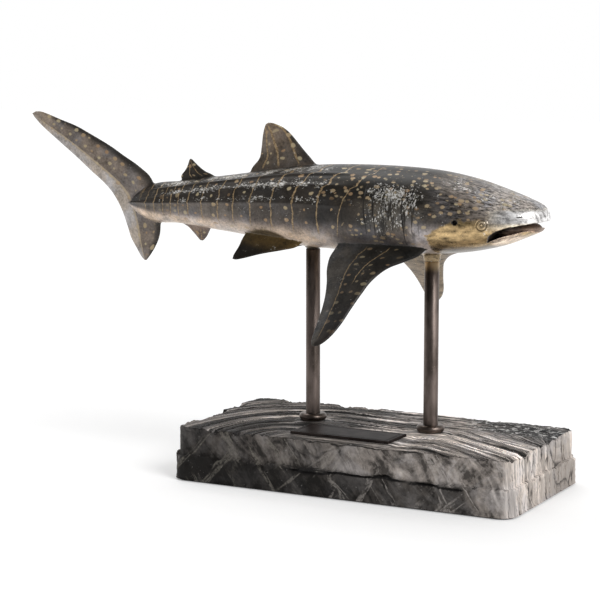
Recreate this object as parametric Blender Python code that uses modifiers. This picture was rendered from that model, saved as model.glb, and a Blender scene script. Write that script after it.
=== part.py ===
"""Whale shark figurine: one bronze casting on two round posts, over a carved two-tier stone base.

Units are metres, +Z is up, +X runs towards the head. The origin is the middle of the base's underside.
The shark is built against its swimming level, a horizontal line through the body at half height.
"""

import math

import bmesh
import bpy
from mathutils import Matrix, Vector

# Clearance between pieces that touch
GAP = 0.0003

# Felt pad under the stone
FELT_THICKNESS = 0.0015
FELT_INSET = 0.004

# Stone base: a lower tier and a slightly smaller upper tier, one carved block
BASE_LENGTH = 0.409
BASE_WIDTH = 0.205
LOWER_TIER_HEIGHT = 0.0295
UPPER_TIER_HEIGHT = 0.0305
TIER_STEP = 0.0045
CORNER_RADIUS = 0.014
TOP_EDGE_ROUND = 0.003
RELIEF_DEPTH = 0.0040
SIDE_RELIEF_DEPTH = 0.0018
PAD_MARGIN = 0.002
PAD_FADE = 0.009

# Layers of the stone: they turn round a point at the front left and slant off at the right
LAYER_TURN_X = -0.060
LAYER_TURN_Y = -0.100
LAYER_STRETCH = 1.25
LAYER_SLANT_X = 0.095
LAYER_SLANT = 0.62
LAYER_LEAN = 0.12

# Carved grooves: place across the layers, half width, share of the relief depth
GROOVES = (
    (0.0890, 0.0045, 0.70),
    (0.0710, 0.0040, 0.60),
    (0.0540, 0.0055, 0.95),
    (0.0370, 0.0050, 0.85),
    (0.0240, 0.0040, 0.50),
    (0.0095, 0.0055, 1.00),
    (-0.0060, 0.0040, 0.55),
    (-0.0240, 0.0060, 1.00),
    (-0.0400, 0.0040, 0.55),
    (-0.0530, 0.0050, 0.85),
    (-0.0670, 0.0040, 0.50),
    (-0.0800, 0.0050, 0.75),
    (-0.0940, 0.0045, 0.60),
)

# Posts: round bar with a thinner stud below and a spigot above
POST_DIAMETER = 0.016
FRONT_POST_X = 0.0675
REAR_POST_X = -0.0775
STUD_DIAMETER = 0.010
STUD_BELOW_NUT = 0.002
SPIGOT_LENGTH = 0.012
BAR_CHAMFER = 0.0006

# Collars round the feet of the posts
COLLAR_DIAMETER = 0.031
COLLAR_HEIGHT = 0.0085

# Plaque on the top of the stone
PLAQUE_LENGTH = 0.118
PLAQUE_WIDTH = 0.046
PLAQUE_THICKNESS = 0.003
PLAQUE_X = -0.0042
PLAQUE_FROM_EDGE = 0.017
PLAQUE_EDGE = 0.0006
BORDER_INSET = 0.0025
BORDER_LINE = 0.0007
BORDER_SPACING = 0.0022
BORDER_DEPTH = 0.0004

# Fastenings in pockets under the stone
HOLE_CLEARANCE = 0.0005
POCKET_DIAMETER = 0.027
POCKET_DEPTH = 0.016
WASHER_DIAMETER = 0.021
WASHER_THICKNESS = 0.002
NUT_ACROSS_FLATS = 0.017
NUT_HEIGHT = 0.008

# Bosses under the belly that take the spigots
BOSS_DIAMETER = 0.018
FRONT_BOSS_DROP = 0.0085
REAR_BOSS_DROP = 0.0025
BOSS_FLARE = 0.006
BOSS_SINK = 0.016

# Swimming level of the shark above the top of the stone
SWIM_ABOVE_STONE = 0.2376

# Body sections: x, back, belly, half width, widest level; the last four against the swimming level
BODY_STATIONS = (
    (-0.3190, 0.0020, -0.0055, 0.0030, -0.0018),
    (-0.3000, 0.0150, -0.0165, 0.0110, -0.0020),
    (-0.2800, 0.0230, -0.0225, 0.0180, -0.0020),
    (-0.2500, 0.0262, -0.0222, 0.0245, -0.0010),
    (-0.2050, 0.0325, -0.0265, 0.0330, 0.0005),
    (-0.1600, 0.0388, -0.0310, 0.0405, 0.0018),
    (-0.1200, 0.0450, -0.0370, 0.0465, 0.0028),
    (-0.0720, 0.0505, -0.0405, 0.0530, 0.0030),
    (-0.0200, 0.0525, -0.0415, 0.0575, 0.0024),
    (0.0300, 0.0520, -0.0425, 0.0592, 0.0000),
    (0.0750, 0.0490, -0.0402, 0.0588, -0.0035),
    (0.1150, 0.0420, -0.0362, 0.0550, -0.0070),
    (0.1500, 0.0320, -0.0285, 0.0480, -0.0080),
    (0.1750, 0.0235, -0.0190, 0.0375, -0.0030),
    (0.1910, 0.0168, -0.0118, 0.0255, 0.0010),
    (0.1978, 0.0105, -0.0065, 0.0130, 0.0020),
    (0.1998, 0.0020, 0.0020, 0.0000, 0.0020),
)
SECTION_POWER = 2.25
TRUNK_RINGS = 30
HEAD_RINGS = 11
HEAD_START_X = 0.115

# Lengthwise ridges on each flank, as angles from the back, and the keel beside the tail
RIDGE_ANGLES = (40.0, 59.0, 81.0)
RIDGE_HEIGHT = 0.0014
RIDGE_FADE_START_X = -0.050
RIDGE_FADE_END_X = 0.010
KEEL_HEIGHT = 0.0035
KEEL_START_X = -0.2650
COLUMNS_BETWEEN_RIDGES = (4, 3, 4, 7)

# Fin outlines, root to tip: front edge x and z, rear edge x and z, against the swimming level
FIRST_DORSAL = (
    (-0.0640, 0.0380, -0.1600, 0.0280),
    (-0.0730, 0.0498, -0.1570, 0.0420),
    (-0.0890, 0.0660, -0.1460, 0.0550),
    (-0.1050, 0.0830, -0.1430, 0.0680),
    (-0.1150, 0.0905, -0.1415, 0.0800),
    (-0.1240, 0.0940, -0.1400, 0.0870),
    (-0.1300, 0.0955, -0.1385, 0.0915),
    (-0.1345, 0.0955, -0.1375, 0.0938),
)
SECOND_DORSAL = (
    (-0.1990, 0.0240, -0.2440, 0.0190),
    (-0.2050, 0.0345, -0.2495, 0.0300),
    (-0.2140, 0.0372, -0.2480, 0.0335),
    (-0.2215, 0.0412, -0.2440, 0.0380),
    (-0.2285, 0.0465, -0.2410, 0.0425),
    (-0.2340, 0.0512, -0.2385, 0.0480),
    (-0.2360, 0.0522, -0.2377, 0.0508),
)
ANAL = (
    (-0.2050, -0.0190, -0.2520, -0.0140),
    (-0.2090, -0.0262, -0.2490, -0.0215),
    (-0.2122, -0.0310, -0.2400, -0.0262),
    (-0.2152, -0.0362, -0.2325, -0.0327),
    (-0.2182, -0.0396, -0.2265, -0.0386),
    (-0.2205, -0.0414, -0.2237, -0.0413),
)
CAUDAL = (
    (-0.4547, 0.1022, -0.4552, 0.1000),
    (-0.4420, 0.1025, -0.4490, 0.0920),
    (-0.4160, 0.0935, -0.4300, 0.0760),
    (-0.3930, 0.0860, -0.4120, 0.0630),
    (-0.3730, 0.0770, -0.3940, 0.0500),
    (-0.3460, 0.0640, -0.3720, 0.0330),
    (-0.3270, 0.0530, -0.3570, 0.0220),
    (-0.3060, 0.0410, -0.3450, 0.0110),
    (-0.2880, 0.0260, -0.3360, -0.0010),
    (-0.2800, 0.0010, -0.3290, -0.0140),
    (-0.2770, -0.0230, -0.3220, -0.0320),
    (-0.2790, -0.0390, -0.3180, -0.0430),
    (-0.2850, -0.0520, -0.3110, -0.0540),
    (-0.2920, -0.0620, -0.3040, -0.0645),
    (-0.2970, -0.0680, -0.2995, -0.0685),
)
CAUDAL_CREASE = 0.68

# Paired fins, root to tip: distance behind the fin's own origin and out from it, front edge then rear edge
PECTORAL = (
    (-0.0020, -0.0160, 0.1060, -0.0160),
    (0.0060, 0.0050, 0.1090, 0.0050),
    (0.0200, 0.0150, 0.1110, 0.0170),
    (0.0380, 0.0260, 0.1085, 0.0330),
    (0.0505, 0.0430, 0.1025, 0.0500),
    (0.0570, 0.0630, 0.0975, 0.0700),
    (0.0620, 0.0830, 0.0950, 0.0900),
    (0.0665, 0.1030, 0.0940, 0.1110),
    (0.0725, 0.1190, 0.0930, 0.1240),
    (0.0800, 0.1300, 0.0915, 0.1310),
    (0.0852, 0.1337, 0.0892, 0.1335),
)
PELVIC = (
    (0.0000, -0.0120, 0.0740, -0.0180),
    (0.0030, 0.0010, 0.0765, -0.0050),
    (0.0190, 0.0065, 0.0772, 0.0040),
    (0.0460, 0.0135, 0.0785, 0.0105),
    (0.0650, 0.0200, 0.0800, 0.0175),
    (0.0760, 0.0232, 0.0797, 0.0225),
)
PECTORAL_X = 0.082
PECTORAL_OUT = 0.043
PECTORAL_LEVEL = -0.033
NEAR_PECTORAL_DROOP = 45.5
FAR_PECTORAL_DROOP = 38.0
FAR_PECTORAL_LEAD = 0.021
FAR_PECTORAL_SWEEP = 0.09
PELVIC_X = -0.073
PELVIC_OUT = 0.036
PELVIC_LEVEL = -0.036
PELVIC_DROOP = 52.0

# Half thickness of the fins at the root and at the tip, and of their rear edges
DORSAL_THICKNESS = (0.0055, 0.0012)
SMALL_FIN_THICKNESS = (0.0032, 0.0009)
CAUDAL_THICKNESS = (0.0014, 0.0042)
PECTORAL_THICKNESS = (0.0052, 0.0013)
REAR_EDGE = 0.0005

# Across a fin, from the front edge to the rear edge: place and share of the half thickness
FOIL = ((0.0, 0.0), (0.03, 0.52), (0.12, 0.84), (0.32, 1.0), (0.60, 0.74), (0.85, 0.34), (1.0, 0.0))

# Head: mouth slit, eyes, spiracles and gill slits; heights against the swimming level
MOUTH_OUTLINE = (
    (0.1480, -0.0215),
    (0.1600, -0.0165),
    (0.1885, -0.0090),
    (0.1908, -0.0130),
    (0.2150, -0.0130),
    (0.2150, 0.0022),
    (0.1850, -0.0022),
    (0.1640, -0.0070),
    (0.1530, -0.0135),
)
MOUTH_OVERCUT = 0.0108
EYE_X = 0.145
EYE_LEVEL = -0.002
EYE_RING_RADIUS = 0.0046
EYE_RING_WIDTH = 0.0011
SPIRACLE_X = 0.117
SPIRACLE_LEVEL = -0.001
SPIRACLE_RADIUS = 0.0026
SPIRACLE_DEPTH = 0.005
GILL_SLITS = (
    (0.0135, 54.0, 108.0),
    (0.0245, 56.0, 110.0),
    (0.0355, 72.0, 99.0),
    (0.0460, 71.0, 100.0),
    (0.0590, 64.0, 118.0),
)
GILL_LEAN = 0.004
GILL_WIDTH = 0.0018
GILL_DEPTH = 0.0024

ROUND_STEPS = 32
HALF_COLUMNS = 33
STONE_ROWS = 50

# Heights and places that follow from the sizes above
STONE_BOTTOM = FELT_THICKNESS + GAP
LEDGE_HEIGHT = STONE_BOTTOM + LOWER_TIER_HEIGHT
STONE_TOP = LEDGE_HEIGHT + UPPER_TIER_HEIGHT
SWIM_LEVEL = STONE_TOP + SWIM_ABOVE_STONE
POCKET_TOP = STONE_BOTTOM + POCKET_DEPTH
NOSE_X = BODY_STATIONS[-1][0]
PLAQUE_Y = TIER_STEP - BASE_WIDTH / 2 + PLAQUE_FROM_EDGE + PLAQUE_WIDTH / 2


def fresh_scene():
    for old in list(bpy.data.objects):
        bpy.data.objects.remove(old, do_unlink=True)


def new_collection(name):
    collection = bpy.data.collections.new(name)
    bpy.context.scene.collection.children.link(collection)
    return collection


def material(name, color, roughness, metallic):
    made = bpy.data.materials.new(name)
    made.use_nodes = True
    shader = made.node_tree.nodes["Principled BSDF"]
    shader.inputs["Base Color"].default_value = (*color, 1.0)
    shader.inputs["Roughness"].default_value = roughness
    shader.inputs["Metallic"].default_value = metallic
    made.diffuse_color = (*color, 1.0)
    return made


def object_from(bm, name, collection, finish=None):
    """Object made from a bmesh, with its faces turned outwards."""
    bmesh.ops.recalc_face_normals(bm, faces=bm.faces)
    mesh = bpy.data.meshes.new(name)
    bm.to_mesh(mesh)
    bm.free()
    made = bpy.data.objects.new(name, mesh)
    collection.objects.link(made)
    if finish:
        mesh.materials.append(finish)
    return made


def tool_from(bm, name, collection):
    """Shape that is joined to a part or cut from it, and isn't a part itself."""
    made = object_from(bm, name, collection)
    made.hide_render = True
    made.display_type = "WIRE"
    return made


def boolean(target, tool, operation):
    step = target.modifiers.new(f"{operation.lower()} {tool.name}", "BOOLEAN")
    step.operation = operation
    step.solver = "EXACT"
    step.object = tool


def boolean_all(target, collection, operation):
    """One Boolean with every shape of a collection."""
    step = target.modifiers.new(f"{operation.lower()} {collection.name}", "BOOLEAN")
    step.operation = operation
    step.solver = "EXACT"
    step.operand_type = "COLLECTION"
    step.collection = collection


def smooth_shading(made, degrees):
    made.data.shade_smooth()
    made.data.set_sharp_from_angle(angle=math.radians(degrees))


def spline(points, x):
    """Value at x of a smooth curve through (x, value) points in rising order of x."""
    last = len(points) - 2
    i = 0
    while i < last and x > points[i + 1][0]:
        i += 1
    slopes = []
    for k in (i, i + 1):
        before = points[max(k - 1, 0)]
        after = points[min(k + 1, last + 1)]
        slopes.append((after[1] - before[1]) / (after[0] - before[0]))
    (x0, y0), (x1, y1) = points[i], points[i + 1]
    width = x1 - x0
    t = (x - x0) / width
    return (
        y0 * (1 + 2 * t) * (1 - t) ** 2
        + slopes[0] * width * t * (1 - t) ** 2
        + y1 * t * t * (3 - 2 * t)
        - slopes[1] * width * t * t * (1 - t)
    )


def ease(edge0, edge1, x):
    t = min(max((x - edge0) / (edge1 - edge0), 0.0), 1.0)
    return t * t * (3 - 2 * t)


def body_section(x):
    """Back, belly, half width and widest level at x. Near the nose they follow the root of the distance."""
    reach = math.sqrt(max(NOSE_X - x, 0.0))
    values = []
    for column in range(1, 5):
        points = [(math.sqrt(NOSE_X - row[0]), row[column]) for row in reversed(BODY_STATIONS)]
        values.append(spline(points, reach))
    return values


def skin_point(x, angle, lift=0.0):
    """Point of the skin at x, at an angle in degrees from the back round over the -Y flank."""
    back, belly, half_width, level = body_section(x)
    if x >= NOSE_X:
        return Vector((x, 0.0, SWIM_LEVEL + level))
    turn = math.radians(angle)
    height = back - level if math.cos(turn) >= 0 else level - belly
    radius = (
        abs(math.sin(turn) / half_width) ** SECTION_POWER + abs(math.cos(turn) / height) ** SECTION_POWER
    ) ** (-1 / SECTION_POWER)
    folded = min(angle, 360.0 - angle)
    ridge = RIDGE_HEIGHT * (1 - ease(RIDGE_FADE_START_X, RIDGE_FADE_END_X, x))
    ridge *= ease(BODY_STATIONS[0][0], KEEL_START_X, x)
    nearest = min(abs(folded - crest) for crest in RIDGE_ANGLES)
    radius += ridge * max(0.0, 1 - nearest / 4.0)
    keel = KEEL_HEIGHT * (1 - ease(BODY_STATIONS[1][0], KEEL_START_X, x))
    radius += keel * max(0.0, 1 - abs(folded - RIDGE_ANGLES[-1]) / 12.0)
    radius += lift
    return Vector((x, -radius * math.sin(turn), SWIM_LEVEL + level + radius * math.cos(turn)))


def column_angles():
    """Angles of the mesh columns, with one on each ridge."""
    keys = (0.0, *RIDGE_ANGLES, 180.0)
    side = []
    for low, high, count in zip(keys, keys[1:], COLUMNS_BETWEEN_RIDGES):
        side.extend(low + (high - low) * k / count for k in range(count))
    return side + [180.0] + [360.0 - angle for angle in reversed(side[1:])]


def station_list():
    """Ring places from the tail to just before the nose, closer together on the head."""
    tail = BODY_STATIONS[0][0]
    places = [tail + (HEAD_START_X - tail) * k / TRUNK_RINGS for k in range(TRUNK_RINGS)]
    reach = math.sqrt(NOSE_X - HEAD_START_X)
    places += [NOSE_X - (reach * (1 - k / HEAD_RINGS)) ** 2 for k in range(HEAD_RINGS)]
    return places


def loft(bm, rings, close_last_to_point=None):
    """Skin over closed rings of equal count, with both ends closed."""
    rows = [[bm.verts.new(point) for point in ring] for ring in rings]
    for low, high in zip(rows, rows[1:]):
        for k, vertex in enumerate(low):
            following = (k + 1) % len(low)
            bm.faces.new((vertex, low[following], high[following], high[k]))
    bm.faces.new(rows[0][::-1])
    if close_last_to_point is None:
        bm.faces.new(rows[-1])
        return
    apex = bm.verts.new(close_last_to_point)
    for k, vertex in enumerate(rows[-1]):
        bm.faces.new((vertex, rows[-1][(k + 1) % len(rows[-1])], apex))


def body_bmesh():
    bm = bmesh.new()
    angles = column_angles()
    rings = [[skin_point(x, angle) for angle in angles] for x in station_list()]
    loft(bm, rings, close_last_to_point=skin_point(NOSE_X, 0.0))
    return bm


def foil_ring(front, rear, half_thickness, place, foil=FOIL):
    """Section of a fin between its front and rear edge points. place turns (a, b, sideways) into a Vector."""
    def at(share, sideways):
        a = front[0] + (rear[0] - front[0]) * share
        b = front[1] + (rear[1] - front[1]) * share
        return place(a, b, sideways)

    depth = [(share, max(thick * half_thickness, REAR_EDGE if share else 0.0)) for share, thick in foil]
    one_side = [at(share, sideways) for share, sideways in depth]
    other_side = [at(share, -sideways) for share, sideways in depth[:0:-1]]
    return one_side + other_side


def fin_tool(name, outline, thickness, place):
    """Fin lofted root to tip, thick at its root and thin at its tip."""
    bm = bmesh.new()
    rings = []
    for k, (front_a, front_b, rear_a, rear_b) in enumerate(outline):
        share = max(0.0, (k - 1) / (len(outline) - 2))
        half = thickness[0] + (thickness[1] - thickness[0]) * share ** 0.7
        rings.append(foil_ring((front_a, front_b), (rear_a, rear_b), half, place))
    loft(bm, rings)
    return tool_from(bm, name, forms)


def upright(a, b, sideways):
    return Vector((a, sideways, SWIM_LEVEL + b))


def slanted(x, out, level, droop, side, sweep=0.0):
    """Placing function of a fin that leaves the flank, hangs by the droop angle and is swept back."""
    turn = math.radians(droop)
    outward = Vector((0.0, side * math.cos(turn), -math.sin(turn)))
    upward = Vector((0.0, side * math.sin(turn), math.cos(turn)))
    root = Vector((x, side * out, SWIM_LEVEL + level))

    def place(a, b, sideways):
        return root + Vector((-a - sweep * b, 0.0, 0.0)) + outward * b + upward * sideways

    return place


def caudal_tool():
    """Two-lobed tail fin with a crease where its rear strip bends away."""
    thin, thick = CAUDAL_THICKNESS
    foil = ((0.0, 0.0), (0.05, 0.30), (0.20, 0.52), (0.45, 0.80), (CAUDAL_CREASE, 1.0), (1.0, 0.0))
    bm = bmesh.new()
    rings = []
    middle = next(k for k, row in enumerate(CAUDAL) if row[1] < BODY_STATIONS[1][1])
    for k, (front_a, front_b, rear_a, rear_b) in enumerate(CAUDAL):
        end = 0 if k <= middle else len(CAUDAL) - 1
        share = abs(k - end) / abs(middle - end)
        half = thin + (thick - thin) * share ** 0.8
        rings.append(foil_ring((front_a, front_b), (rear_a, rear_b), half, upright, foil))
    loft(bm, rings)
    return tool_from(bm, "caudal_form", forms)


def turned_bmesh(profile, x, steps=ROUND_STEPS):
    """Solid of revolution about the vertical through x; the profile is (radius, z) from the top axis down."""
    bm = bmesh.new()
    chain = [bm.verts.new((radius, 0.0, z)) for radius, z in profile]
    edges = [bm.edges.new(pair) for pair in zip(chain, chain[1:])]
    bmesh.ops.spin(
        bm,
        geom=chain + edges,
        cent=(0.0, 0.0, 0.0),
        axis=(0.0, 0.0, 1.0),
        angle=math.tau,
        steps=steps,
        use_merge=True,
    )
    bmesh.ops.remove_doubles(bm, verts=bm.verts, dist=0.000001)
    bmesh.ops.translate(bm, verts=bm.verts, vec=(x, 0.0, 0.0))
    return bm


def turned_part(name, profile, x, finish, closed=False):
    """Turned part: a profile with a Screw modifier, run from the top down its outer side."""
    points = [Vector((radius, 0.0, z)) for radius, z in profile]
    edges = [(k, k + 1) for k in range(len(points) - 1)]
    if closed:
        edges.append((len(points) - 1, 0))
    mesh = bpy.data.meshes.new(name)
    mesh.from_pydata(points, edges, [])
    mesh.materials.append(finish)
    made = bpy.data.objects.new(name, mesh)
    parts.objects.link(made)
    made.location.x = x
    screw = made.modifiers.new("turn", "SCREW")
    screw.steps = ROUND_STEPS
    screw.render_steps = ROUND_STEPS
    screw.use_merge_vertices = True
    screw.merge_threshold = 0.00001
    screw.use_smooth_shade = True
    return made


def boss_seat(x, drop):
    """Height of the flat seat under the belly at x."""
    return SWIM_LEVEL + body_section(x)[1] - drop


def boss_tool(name, x, drop):
    """Cast boss that flares into the belly."""
    seat = boss_seat(x, drop)
    belly = seat + drop
    radius = BOSS_DIAMETER / 2
    profile = [
        (0.0, belly + BOSS_SINK),
        (radius + BOSS_FLARE, belly + BOSS_SINK),
        (radius + BOSS_FLARE, belly + BOSS_FLARE * 0.4),
        (radius + BOSS_FLARE * 0.45, belly + (seat - belly) * 0.10),
        (radius + BOSS_FLARE * 0.12, belly + (seat - belly) * 0.45),
        (radius, seat + BAR_CHAMFER),
        (radius - BAR_CHAMFER, seat),
        (0.0, seat),
    ]
    return tool_from(turned_bmesh(profile, x, 24), name, forms)


def socket_tool(name, x, drop):
    """Blind bore for a post's spigot."""
    seat = boss_seat(x, drop)
    radius = STUD_DIAMETER / 2 + GAP
    depth = seat + SPIGOT_LENGTH + GAP
    profile = [(0.0, depth), (radius, depth), (radius, seat - POST_DIAMETER), (0.0, seat - POST_DIAMETER)]
    return tool_from(turned_bmesh(profile, x, 24), name, cutters)


def mouth_tool():
    """Wedge that opens the mouth from its corners to the front of the snout."""
    reach = max(row[3] for row in BODY_STATIONS) + MOUTH_OVERCUT
    bm = bmesh.new()
    ring = [bm.verts.new((x, -reach, SWIM_LEVEL + z)) for x, z in MOUTH_OUTLINE]
    face = bm.faces.new(ring)
    swept = bmesh.ops.extrude_face_region(bm, geom=[face])["geom"]
    moved = [item for item in swept if isinstance(item, bmesh.types.BMVert)]
    bmesh.ops.translate(bm, verts=moved, vec=(0.0, 2 * reach, 0.0))
    return tool_from(bm, "mouth_cutter", cutters)


def angle_at_level(x, level):
    """Angle from the back where the flank passes a level below or above the swimming level."""
    low, high = 20.0, 160.0
    for _ in range(30):
        angle = (low + high) / 2
        if skin_point(x, angle).z > SWIM_LEVEL + level:
            low = angle
        else:
            high = angle
    return (low + high) / 2


def skin_frame(x, angle):
    """Point of the skin with its outward direction."""
    here = skin_point(x, angle)
    along = skin_point(x + 0.002, angle) - skin_point(x - 0.002, angle)
    around = skin_point(x, angle + 1.0) - skin_point(x, angle - 1.0)
    outward = along.cross(around).normalized()
    if outward.dot(here - Vector((x, 0.0, SWIM_LEVEL))) < 0:
        outward.negate()
    return here, outward


def eye_tool(name, side):
    """Ring groove round an eye."""
    angle = angle_at_level(EYE_X, EYE_LEVEL)
    here, outward = skin_frame(EYE_X, angle if side < 0 else 360.0 - angle)
    bm = bmesh.new()
    bmesh.ops.create_circle(bm, segments=6, radius=EYE_RING_WIDTH)
    bmesh.ops.rotate(bm, verts=bm.verts, cent=(0, 0, 0), matrix=Matrix.Rotation(math.pi / 2, 3, "X"))
    bmesh.ops.translate(bm, verts=bm.verts, vec=(EYE_RING_RADIUS, 0.0, 0.0))
    bmesh.ops.spin(
        bm,
        geom=bm.verts[:] + bm.edges[:],
        cent=(0, 0, 0),
        axis=(0, 0, 1),
        angle=math.tau,
        steps=16,
        use_merge=True,
    )
    turn = Vector((0, 0, 1)).rotation_difference(outward).to_matrix()
    bmesh.ops.rotate(bm, verts=bm.verts, cent=(0, 0, 0), matrix=turn)
    bmesh.ops.translate(bm, verts=bm.verts, vec=here)
    return tool_from(bm, name, cutters)


def spiracle_tool(name, side):
    """Small blind hole behind an eye."""
    angle = angle_at_level(SPIRACLE_X, SPIRACLE_LEVEL)
    here, outward = skin_frame(SPIRACLE_X, angle if side < 0 else 360.0 - angle)
    bm = bmesh.new()
    bmesh.ops.create_cone(
        bm,
        cap_ends=True,
        segments=12,
        radius1=SPIRACLE_RADIUS * 0.7,
        radius2=SPIRACLE_RADIUS,
        depth=2 * SPIRACLE_DEPTH,
    )
    turn = Vector((0, 0, 1)).rotation_difference(outward).to_matrix()
    bmesh.ops.rotate(bm, verts=bm.verts, cent=(0, 0, 0), matrix=turn)
    bmesh.ops.translate(bm, verts=bm.verts, vec=here)
    return tool_from(bm, name, cutters)


def gill_tool(name, side):
    """Five curved blades that cut the gill slits of one flank."""
    bm = bmesh.new()
    for x, first, last in GILL_SLITS:
        rings = []
        count = 7
        for k in range(count):
            share = k / (count - 1)
            angle = first + (last - first) * share
            swell = math.sin(math.pi * (0.08 + 0.84 * share))
            place = x + GILL_LEAN * (share - 0.5)
            seen = angle if side < 0 else 360.0 - angle
            half = GILL_WIDTH / 2 * swell
            rings.append([
                skin_point(place - half, seen, 0.003),
                skin_point(place + half, seen, 0.003),
                skin_point(place, seen, -GILL_DEPTH * swell),
            ])
        loft(bm, rings)
    return tool_from(bm, name, cutters)


def shark():
    """The casting: body, fins and bosses in one piece, with its cut features."""
    casting = object_from(body_bmesh(), "shark_casting", parts, bronze)
    fin_tool("first_dorsal_form", FIRST_DORSAL, DORSAL_THICKNESS, upright)
    fin_tool("second_dorsal_form", SECOND_DORSAL, SMALL_FIN_THICKNESS, upright)
    fin_tool("anal_form", ANAL, SMALL_FIN_THICKNESS, upright)
    caudal_tool()
    near_pectoral = slanted(PECTORAL_X, PECTORAL_OUT, PECTORAL_LEVEL, NEAR_PECTORAL_DROOP, -1)
    far_root_x = PECTORAL_X + FAR_PECTORAL_LEAD
    far_pectoral = slanted(far_root_x, PECTORAL_OUT, PECTORAL_LEVEL, FAR_PECTORAL_DROOP, 1, FAR_PECTORAL_SWEEP)
    fin_tool("near_pectoral_form", PECTORAL, PECTORAL_THICKNESS, near_pectoral)
    fin_tool("far_pectoral_form", PECTORAL, PECTORAL_THICKNESS, far_pectoral)
    mouth_tool()
    for label, side in (("near", -1), ("far", 1)):
        pelvic = slanted(PELVIC_X, PELVIC_OUT, PELVIC_LEVEL, PELVIC_DROOP, side)
        fin_tool(f"{label}_pelvic_form", PELVIC, SMALL_FIN_THICKNESS, pelvic)
        eye_tool(f"{label}_eye_cutter", side)
        spiracle_tool(f"{label}_spiracle_cutter", side)
        gill_tool(f"{label}_gill_cutter", side)
    for label, x, drop in (("front", FRONT_POST_X, FRONT_BOSS_DROP), ("rear", REAR_POST_X, REAR_BOSS_DROP)):
        boss_tool(f"{label}_boss_form", x, drop)
        socket_tool(f"{label}_socket_cutter", x, drop)
    boolean_all(casting, forms, "UNION")
    boolean_all(casting, cutters, "DIFFERENCE")
    smooth_shading(casting, 40)
    return casting


def post(name, x, drop):
    """Round bar: spigot in the casting, shoulder, bar, shoulder on the stone, stud down to the nut."""
    seat = boss_seat(x, drop) - GAP
    foot = STONE_TOP + GAP
    thin = STUD_DIAMETER / 2
    radius = POST_DIAMETER / 2
    stud_end = POCKET_TOP - WASHER_THICKNESS - NUT_HEIGHT - 2 * GAP - STUD_BELOW_NUT
    profile = [
        (0.0, seat + SPIGOT_LENGTH),
        (thin - BAR_CHAMFER, seat + SPIGOT_LENGTH),
        (thin, seat + SPIGOT_LENGTH - BAR_CHAMFER),
        (thin, seat),
        (radius - BAR_CHAMFER, seat),
        (radius, seat - BAR_CHAMFER),
        (radius, foot),
        (thin, foot),
        (thin, stud_end + BAR_CHAMFER),
        (thin - BAR_CHAMFER, stud_end),
        (0.0, stud_end),
    ]
    return turned_part(name, profile, x, dark_bronze)


def collar(name, x):
    """Rounded bead round the foot of a post."""
    inner = POST_DIAMETER / 2 + GAP
    foot = STONE_TOP + GAP
    half = COLLAR_HEIGHT / 2
    wall = COLLAR_DIAMETER / 2 - inner
    bulge = min(half, wall * 0.75)
    profile = [(inner, foot + COLLAR_HEIGHT), (inner + wall - bulge, foot + COLLAR_HEIGHT)]
    for k in range(1, 8):
        turn = math.radians(90 - 180 * k / 8)
        profile.append((inner + wall - bulge + bulge * math.cos(turn), foot + half + half * math.sin(turn)))
    profile += [(inner + wall - bulge, foot), (inner, foot)]
    return turned_part(name, profile, x, dark_bronze, closed=True)


def washer(name, x):
    inner = STUD_DIAMETER / 2 + GAP
    outer = WASHER_DIAMETER / 2
    top = POCKET_TOP - GAP
    low = top - WASHER_THICKNESS
    profile = [(inner, top), (outer, top), (outer, low), (inner, low)]
    return turned_part(name, profile, x, steel, closed=True)


def nut(name, x):
    """Hexagon nut on the stud."""
    top = POCKET_TOP - WASHER_THICKNESS - 2 * GAP
    corner = NUT_ACROSS_FLATS / 2 / math.cos(math.pi / 6)
    bm = bmesh.new()
    bmesh.ops.create_cone(bm, cap_ends=True, segments=6, radius1=corner, radius2=corner, depth=NUT_HEIGHT)
    bmesh.ops.translate(bm, verts=bm.verts, vec=(x, 0.0, top - NUT_HEIGHT / 2))
    made = object_from(bm, name, parts, steel)
    inner = STUD_DIAMETER / 2 + GAP
    above = top + NUT_HEIGHT
    below = top - 2 * NUT_HEIGHT
    profile = [(0.0, above), (inner, above), (inner, below), (0.0, below)]
    boolean(made, tool_from(turned_bmesh(profile, x), f"{name}_bore_cutter", tools), "DIFFERENCE")
    return made


def clear_of_pads(x, y):
    """0 on the flat spots under the collars and the plaque, rising to 1 away from them."""
    clear = 1.0
    for post_x in (FRONT_POST_X, REAR_POST_X):
        away = math.hypot(x - post_x, y) - COLLAR_DIAMETER / 2 - PAD_MARGIN
        clear = min(clear, ease(0.0, PAD_FADE, away))
    away = max(abs(x - PLAQUE_X) - PLAQUE_LENGTH / 2, abs(y - PLAQUE_Y) - PLAQUE_WIDTH / 2) - PAD_MARGIN
    return min(clear, ease(0.0, PAD_FADE, away))


def layer_place(x, y, z):
    """Distance across the layers: they run lengthwise, turn to the front at the left and slant at the right."""
    left = max(0.0, LAYER_TURN_X - x)
    around = LAYER_STRETCH * math.hypot(left, (y - LAYER_TURN_Y) / LAYER_STRETCH) + LAYER_TURN_Y
    slant = LAYER_SLANT * max(0.0, x - LAYER_SLANT_X) * (1 - ease(0.0, LAYER_SLANT_X, y))
    wave = 0.0035 * math.sin(21.0 * x + 1.0) + 0.0020 * math.sin(53.0 * x + 25.0 * y)
    return around + slant + wave + LAYER_LEAN * (z - STONE_TOP)


def layering(x, y, z):
    """Carved depth from 0 to 1: V-shaped grooves that come and go along the layers, on a gentle swell."""
    across = layer_place(x, y, z)
    depth = 0.18 + 0.12 * math.sin(math.tau * across / 0.033 + 2.0 * math.sin(11.0 * x))
    for place, half_width, share in GROOVES:
        strength = share * (0.68 + 0.32 * math.sin(17.0 * x + 400.0 * place))
        depth = max(depth, strength * (1 - abs(across - place) / half_width))
    return depth


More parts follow.
